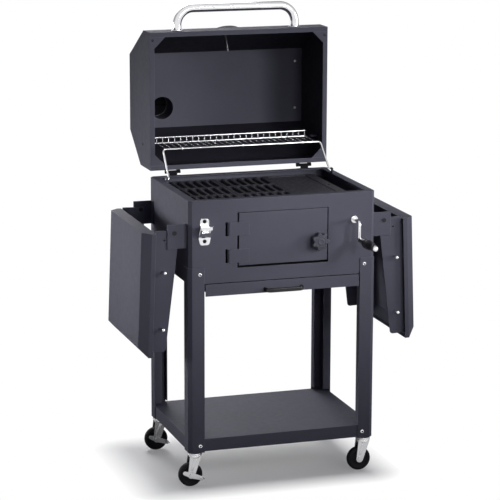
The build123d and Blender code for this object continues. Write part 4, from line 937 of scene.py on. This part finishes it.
class GRILL_OT_stage(bpy.types.Operator):
    """Pale floor, soft lamps, white surround and the camera"""
    bl_idname = "grill.stage"
    bl_label = "Studio"

    def execute(self, context):
        studio = context.scene.grill_studio
        self.lay_floor(context.scene, studio)
        self.light_world(context.scene, studio)
        self.hang_softboxes(context.scene, studio)
        self.place_camera(context.scene, studio)
        context.scene.view_settings.view_transform = "Standard"
        return {"FINISHED"}

    def hang_softboxes(self, scene, studio):
        """Soft lamps round the grill."""
        for name, (place, aim, width, spread) in SOFTBOXES.items():
            lamp = bpy.data.lights.new(f"{name}_softbox", "AREA")
            lamp.size = width
            lamp.spread = radians(spread)
            lamp.energy = getattr(studio, name)
            holder = bpy.data.objects.new(f"{name}_softbox", lamp)
            holder.location = place
            holder.rotation_euler = (Vector(aim) - Vector(place)).to_track_quat("-Z", "Y").to_euler()
            scene.collection.objects.link(holder)

    def place_camera(self, scene, studio):
        """Camera at the view of the photograph."""
        camera = bpy.data.cameras.new("camera")
        camera.sensor_width = 36.0
        camera.lens = studio.lens
        camera.clip_end = 200.0
        turn_up = Matrix.Rotation(pi / 2 - studio.pitch, 4, "X")
        aim = Matrix.Rotation(-studio.yaw, 4, "Z") @ turn_up @ Matrix.Rotation(studio.roll, 4, "Z")
        back = aim.to_3x3() @ UP
        holder = bpy.data.objects.new("camera", camera)
        holder.matrix_world = Matrix.Translation(Vector(studio.target) + back * studio.distance) @ aim
        scene.collection.objects.link(holder)
        scene.camera = holder

    def surround(self, tree, studio, way):
        """Masks of the camera's rays and of all rays that show the surround, and its shade towards a way."""
        path = tree.nodes.new("ShaderNodeLightPath")
        direct = path.outputs["Is Camera Ray"]
        total = direct
        for name in ("Is Glossy Ray", "Is Transmission Ray"):
            total = reckon(tree, "MAXIMUM", total, path.outputs[name])
        depth = tree.nodes.new("ShaderNodeSeparateXYZ")
        tree.links.new(way, depth.inputs["Vector"])
        front_edge, back_edge = -0.4, 0.5
        behind = remap(tree, depth.outputs["Y"], front_edge, back_edge, 0, 1)
        mirrored = mix(tree, behind, tuple(studio.mirror_front), tuple(studio.mirror_back))
        return direct, total, mix(tree, direct, mirrored, (1, 1, 1, 1))

    def lay_floor(self, scene, studio):
        """Floor that keeps the shadow near the grill and fades to white."""
        bm = bmesh.new()
        bmesh.ops.create_circle(bm, cap_ends=True, segments=64, radius=60)
        mesh = bpy.data.meshes.new("studio_floor")
        bm.to_mesh(mesh)
        bm.free()
        mesh.materials.append(self.floor_finish(studio))
        floor = bpy.data.objects.new("studio_floor", mesh)
        scene.collection.objects.link(floor)

    def floor_finish(self, studio):
        """Pale matte floor, with a white glow that grows away from the grill; near the grill the dim floor
        shows, partly its real shadow and partly painted shadow round the shelf's outline.
        """
        finish, tree, surface, place = start_finish("floor_pale")
        direct, seen, shown = self.surround(tree, studio, place)
        ground = mix(tree, direct, tuple(studio.bounce), tuple(studio.floor))
        tree.links.new(ground, surface.inputs["Base Color"])
        surface.inputs["Roughness"].default_value = 0.9
        surface.inputs["Specular IOR Level"].default_value = 0.1
        glow = tree.nodes.new("ShaderNodeEmission")
        tree.links.new(shown, glow.inputs["Color"])
        blend = tree.nodes.new("ShaderNodeMixShader")
        tree.links.new(reckon(tree, "MULTIPLY", seen, self.away(tree, place)), blend.inputs["Fac"])
        tree.links.new(surface.outputs["BSDF"], blend.inputs[1])
        tree.links.new(glow.outputs["Emission"], blend.inputs[2])
        tree.links.new(blend.outputs["Shader"], tree.nodes["Material Output"].inputs["Surface"])
        return finish

    def away(self, tree, place):
        """Mask that grows to 1 away from the shelf's outline on the floor; where it is low, the floor keeps
        a painted shadow.
        """
        low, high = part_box("lower_shelf")
        # The painted shadow reaches further to the left and out to the sides
        to_left, wider = 0.05, 0.02
        least, fade_out = 0.2, 0.12
        half = (high - low) / 2 + Vector((wider, 0, 0))
        centred = tree.nodes.new("ShaderNodeMapping")
        centred.inputs["Location"].default_value = (to_left, -FIREBOX_Y, 0)
        tree.links.new(place, centred.inputs["Vector"])
        aside = reckon_vector(tree, "ABSOLUTE", centred.outputs["Vector"])
        past = reckon_vector(tree, "SUBTRACT", aside, half)
        reach = reckon_vector(tree, "LENGTH", reckon_vector(tree, "MAXIMUM", past, (0, 0, 0)))
        return remap(tree, reach, 0, fade_out, least, 1)

    def light_world(self, scene, studio):
        """White surround that lights the grill gently."""
        world = bpy.data.worlds.new("studio_surround")
        world.use_nodes = True
        scene.world = world
        tree = world.node_tree
        way = tree.nodes.new("ShaderNodeTexCoord").outputs["Generated"]
        _, seen, shown = self.surround(tree, studio, way)
        light = mix(tree, seen, tuple(studio.ambient), shown)
        tree.links.new(light, tree.nodes["Background"].inputs["Color"])


class GRILL_PT_sidebar(bpy.types.Panel):
    """Finishes, sizes and pieces of the grill cart"""
    bl_idname = "GRILL_PT_sidebar"
    bl_label = "Grill Cart"
    bl_space_type = "VIEW_3D"
    bl_region_type = "UI"
    bl_category = "Grill Cart"

    def draw(self, context):
        for group in (context.scene.grill_finishes, context.scene.grill_sizes, context.scene.grill_studio):
            box = self.layout.box()
            for name in group.__annotations__:
                box.prop(group, name)
        for operator in OPERATORS:
            self.layout.operator(operator.bl_idname)


OPERATORS = (
    GRILL_OT_sheet_metal, GRILL_OT_bright_metal, GRILL_OT_castings, GRILL_OT_mouldings, GRILL_OT_wheels,
    GRILL_OT_casters, GRILL_OT_grip, GRILL_OT_thermometer, GRILL_OT_screws, GRILL_OT_stage,
)
GROUPS = {"grill_finishes": GrillFinishes, "grill_sizes": GrillSizes, "grill_studio": GrillStudio}


def register():
    for kind in (*GROUPS.values(), *OPERATORS, GRILL_PT_sidebar):
        bpy.utils.register_class(kind)
    for name, kind in GROUPS.items():
        setattr(bpy.types.Scene, name, PointerProperty(type=kind))


def unregister():
    for name in GROUPS:
        delattr(bpy.types.Scene, name)
    for kind in (GRILL_PT_sidebar, *OPERATORS[::-1], *GROUPS.values()):
        bpy.utils.unregister_class(kind)


def main():
    register()
    bpy.ops.grill.sheet_metal()
    bpy.ops.grill.bright_metal()
    bpy.ops.grill.castings()
    bpy.ops.grill.mouldings()
    bpy.ops.grill.wheels()
    bpy.ops.grill.casters()
    bpy.ops.grill.grip()
    bpy.ops.grill.thermometer()
    bpy.ops.grill.screws()
    bpy.ops.grill.stage()


if __name__ == "__main__":
    main()
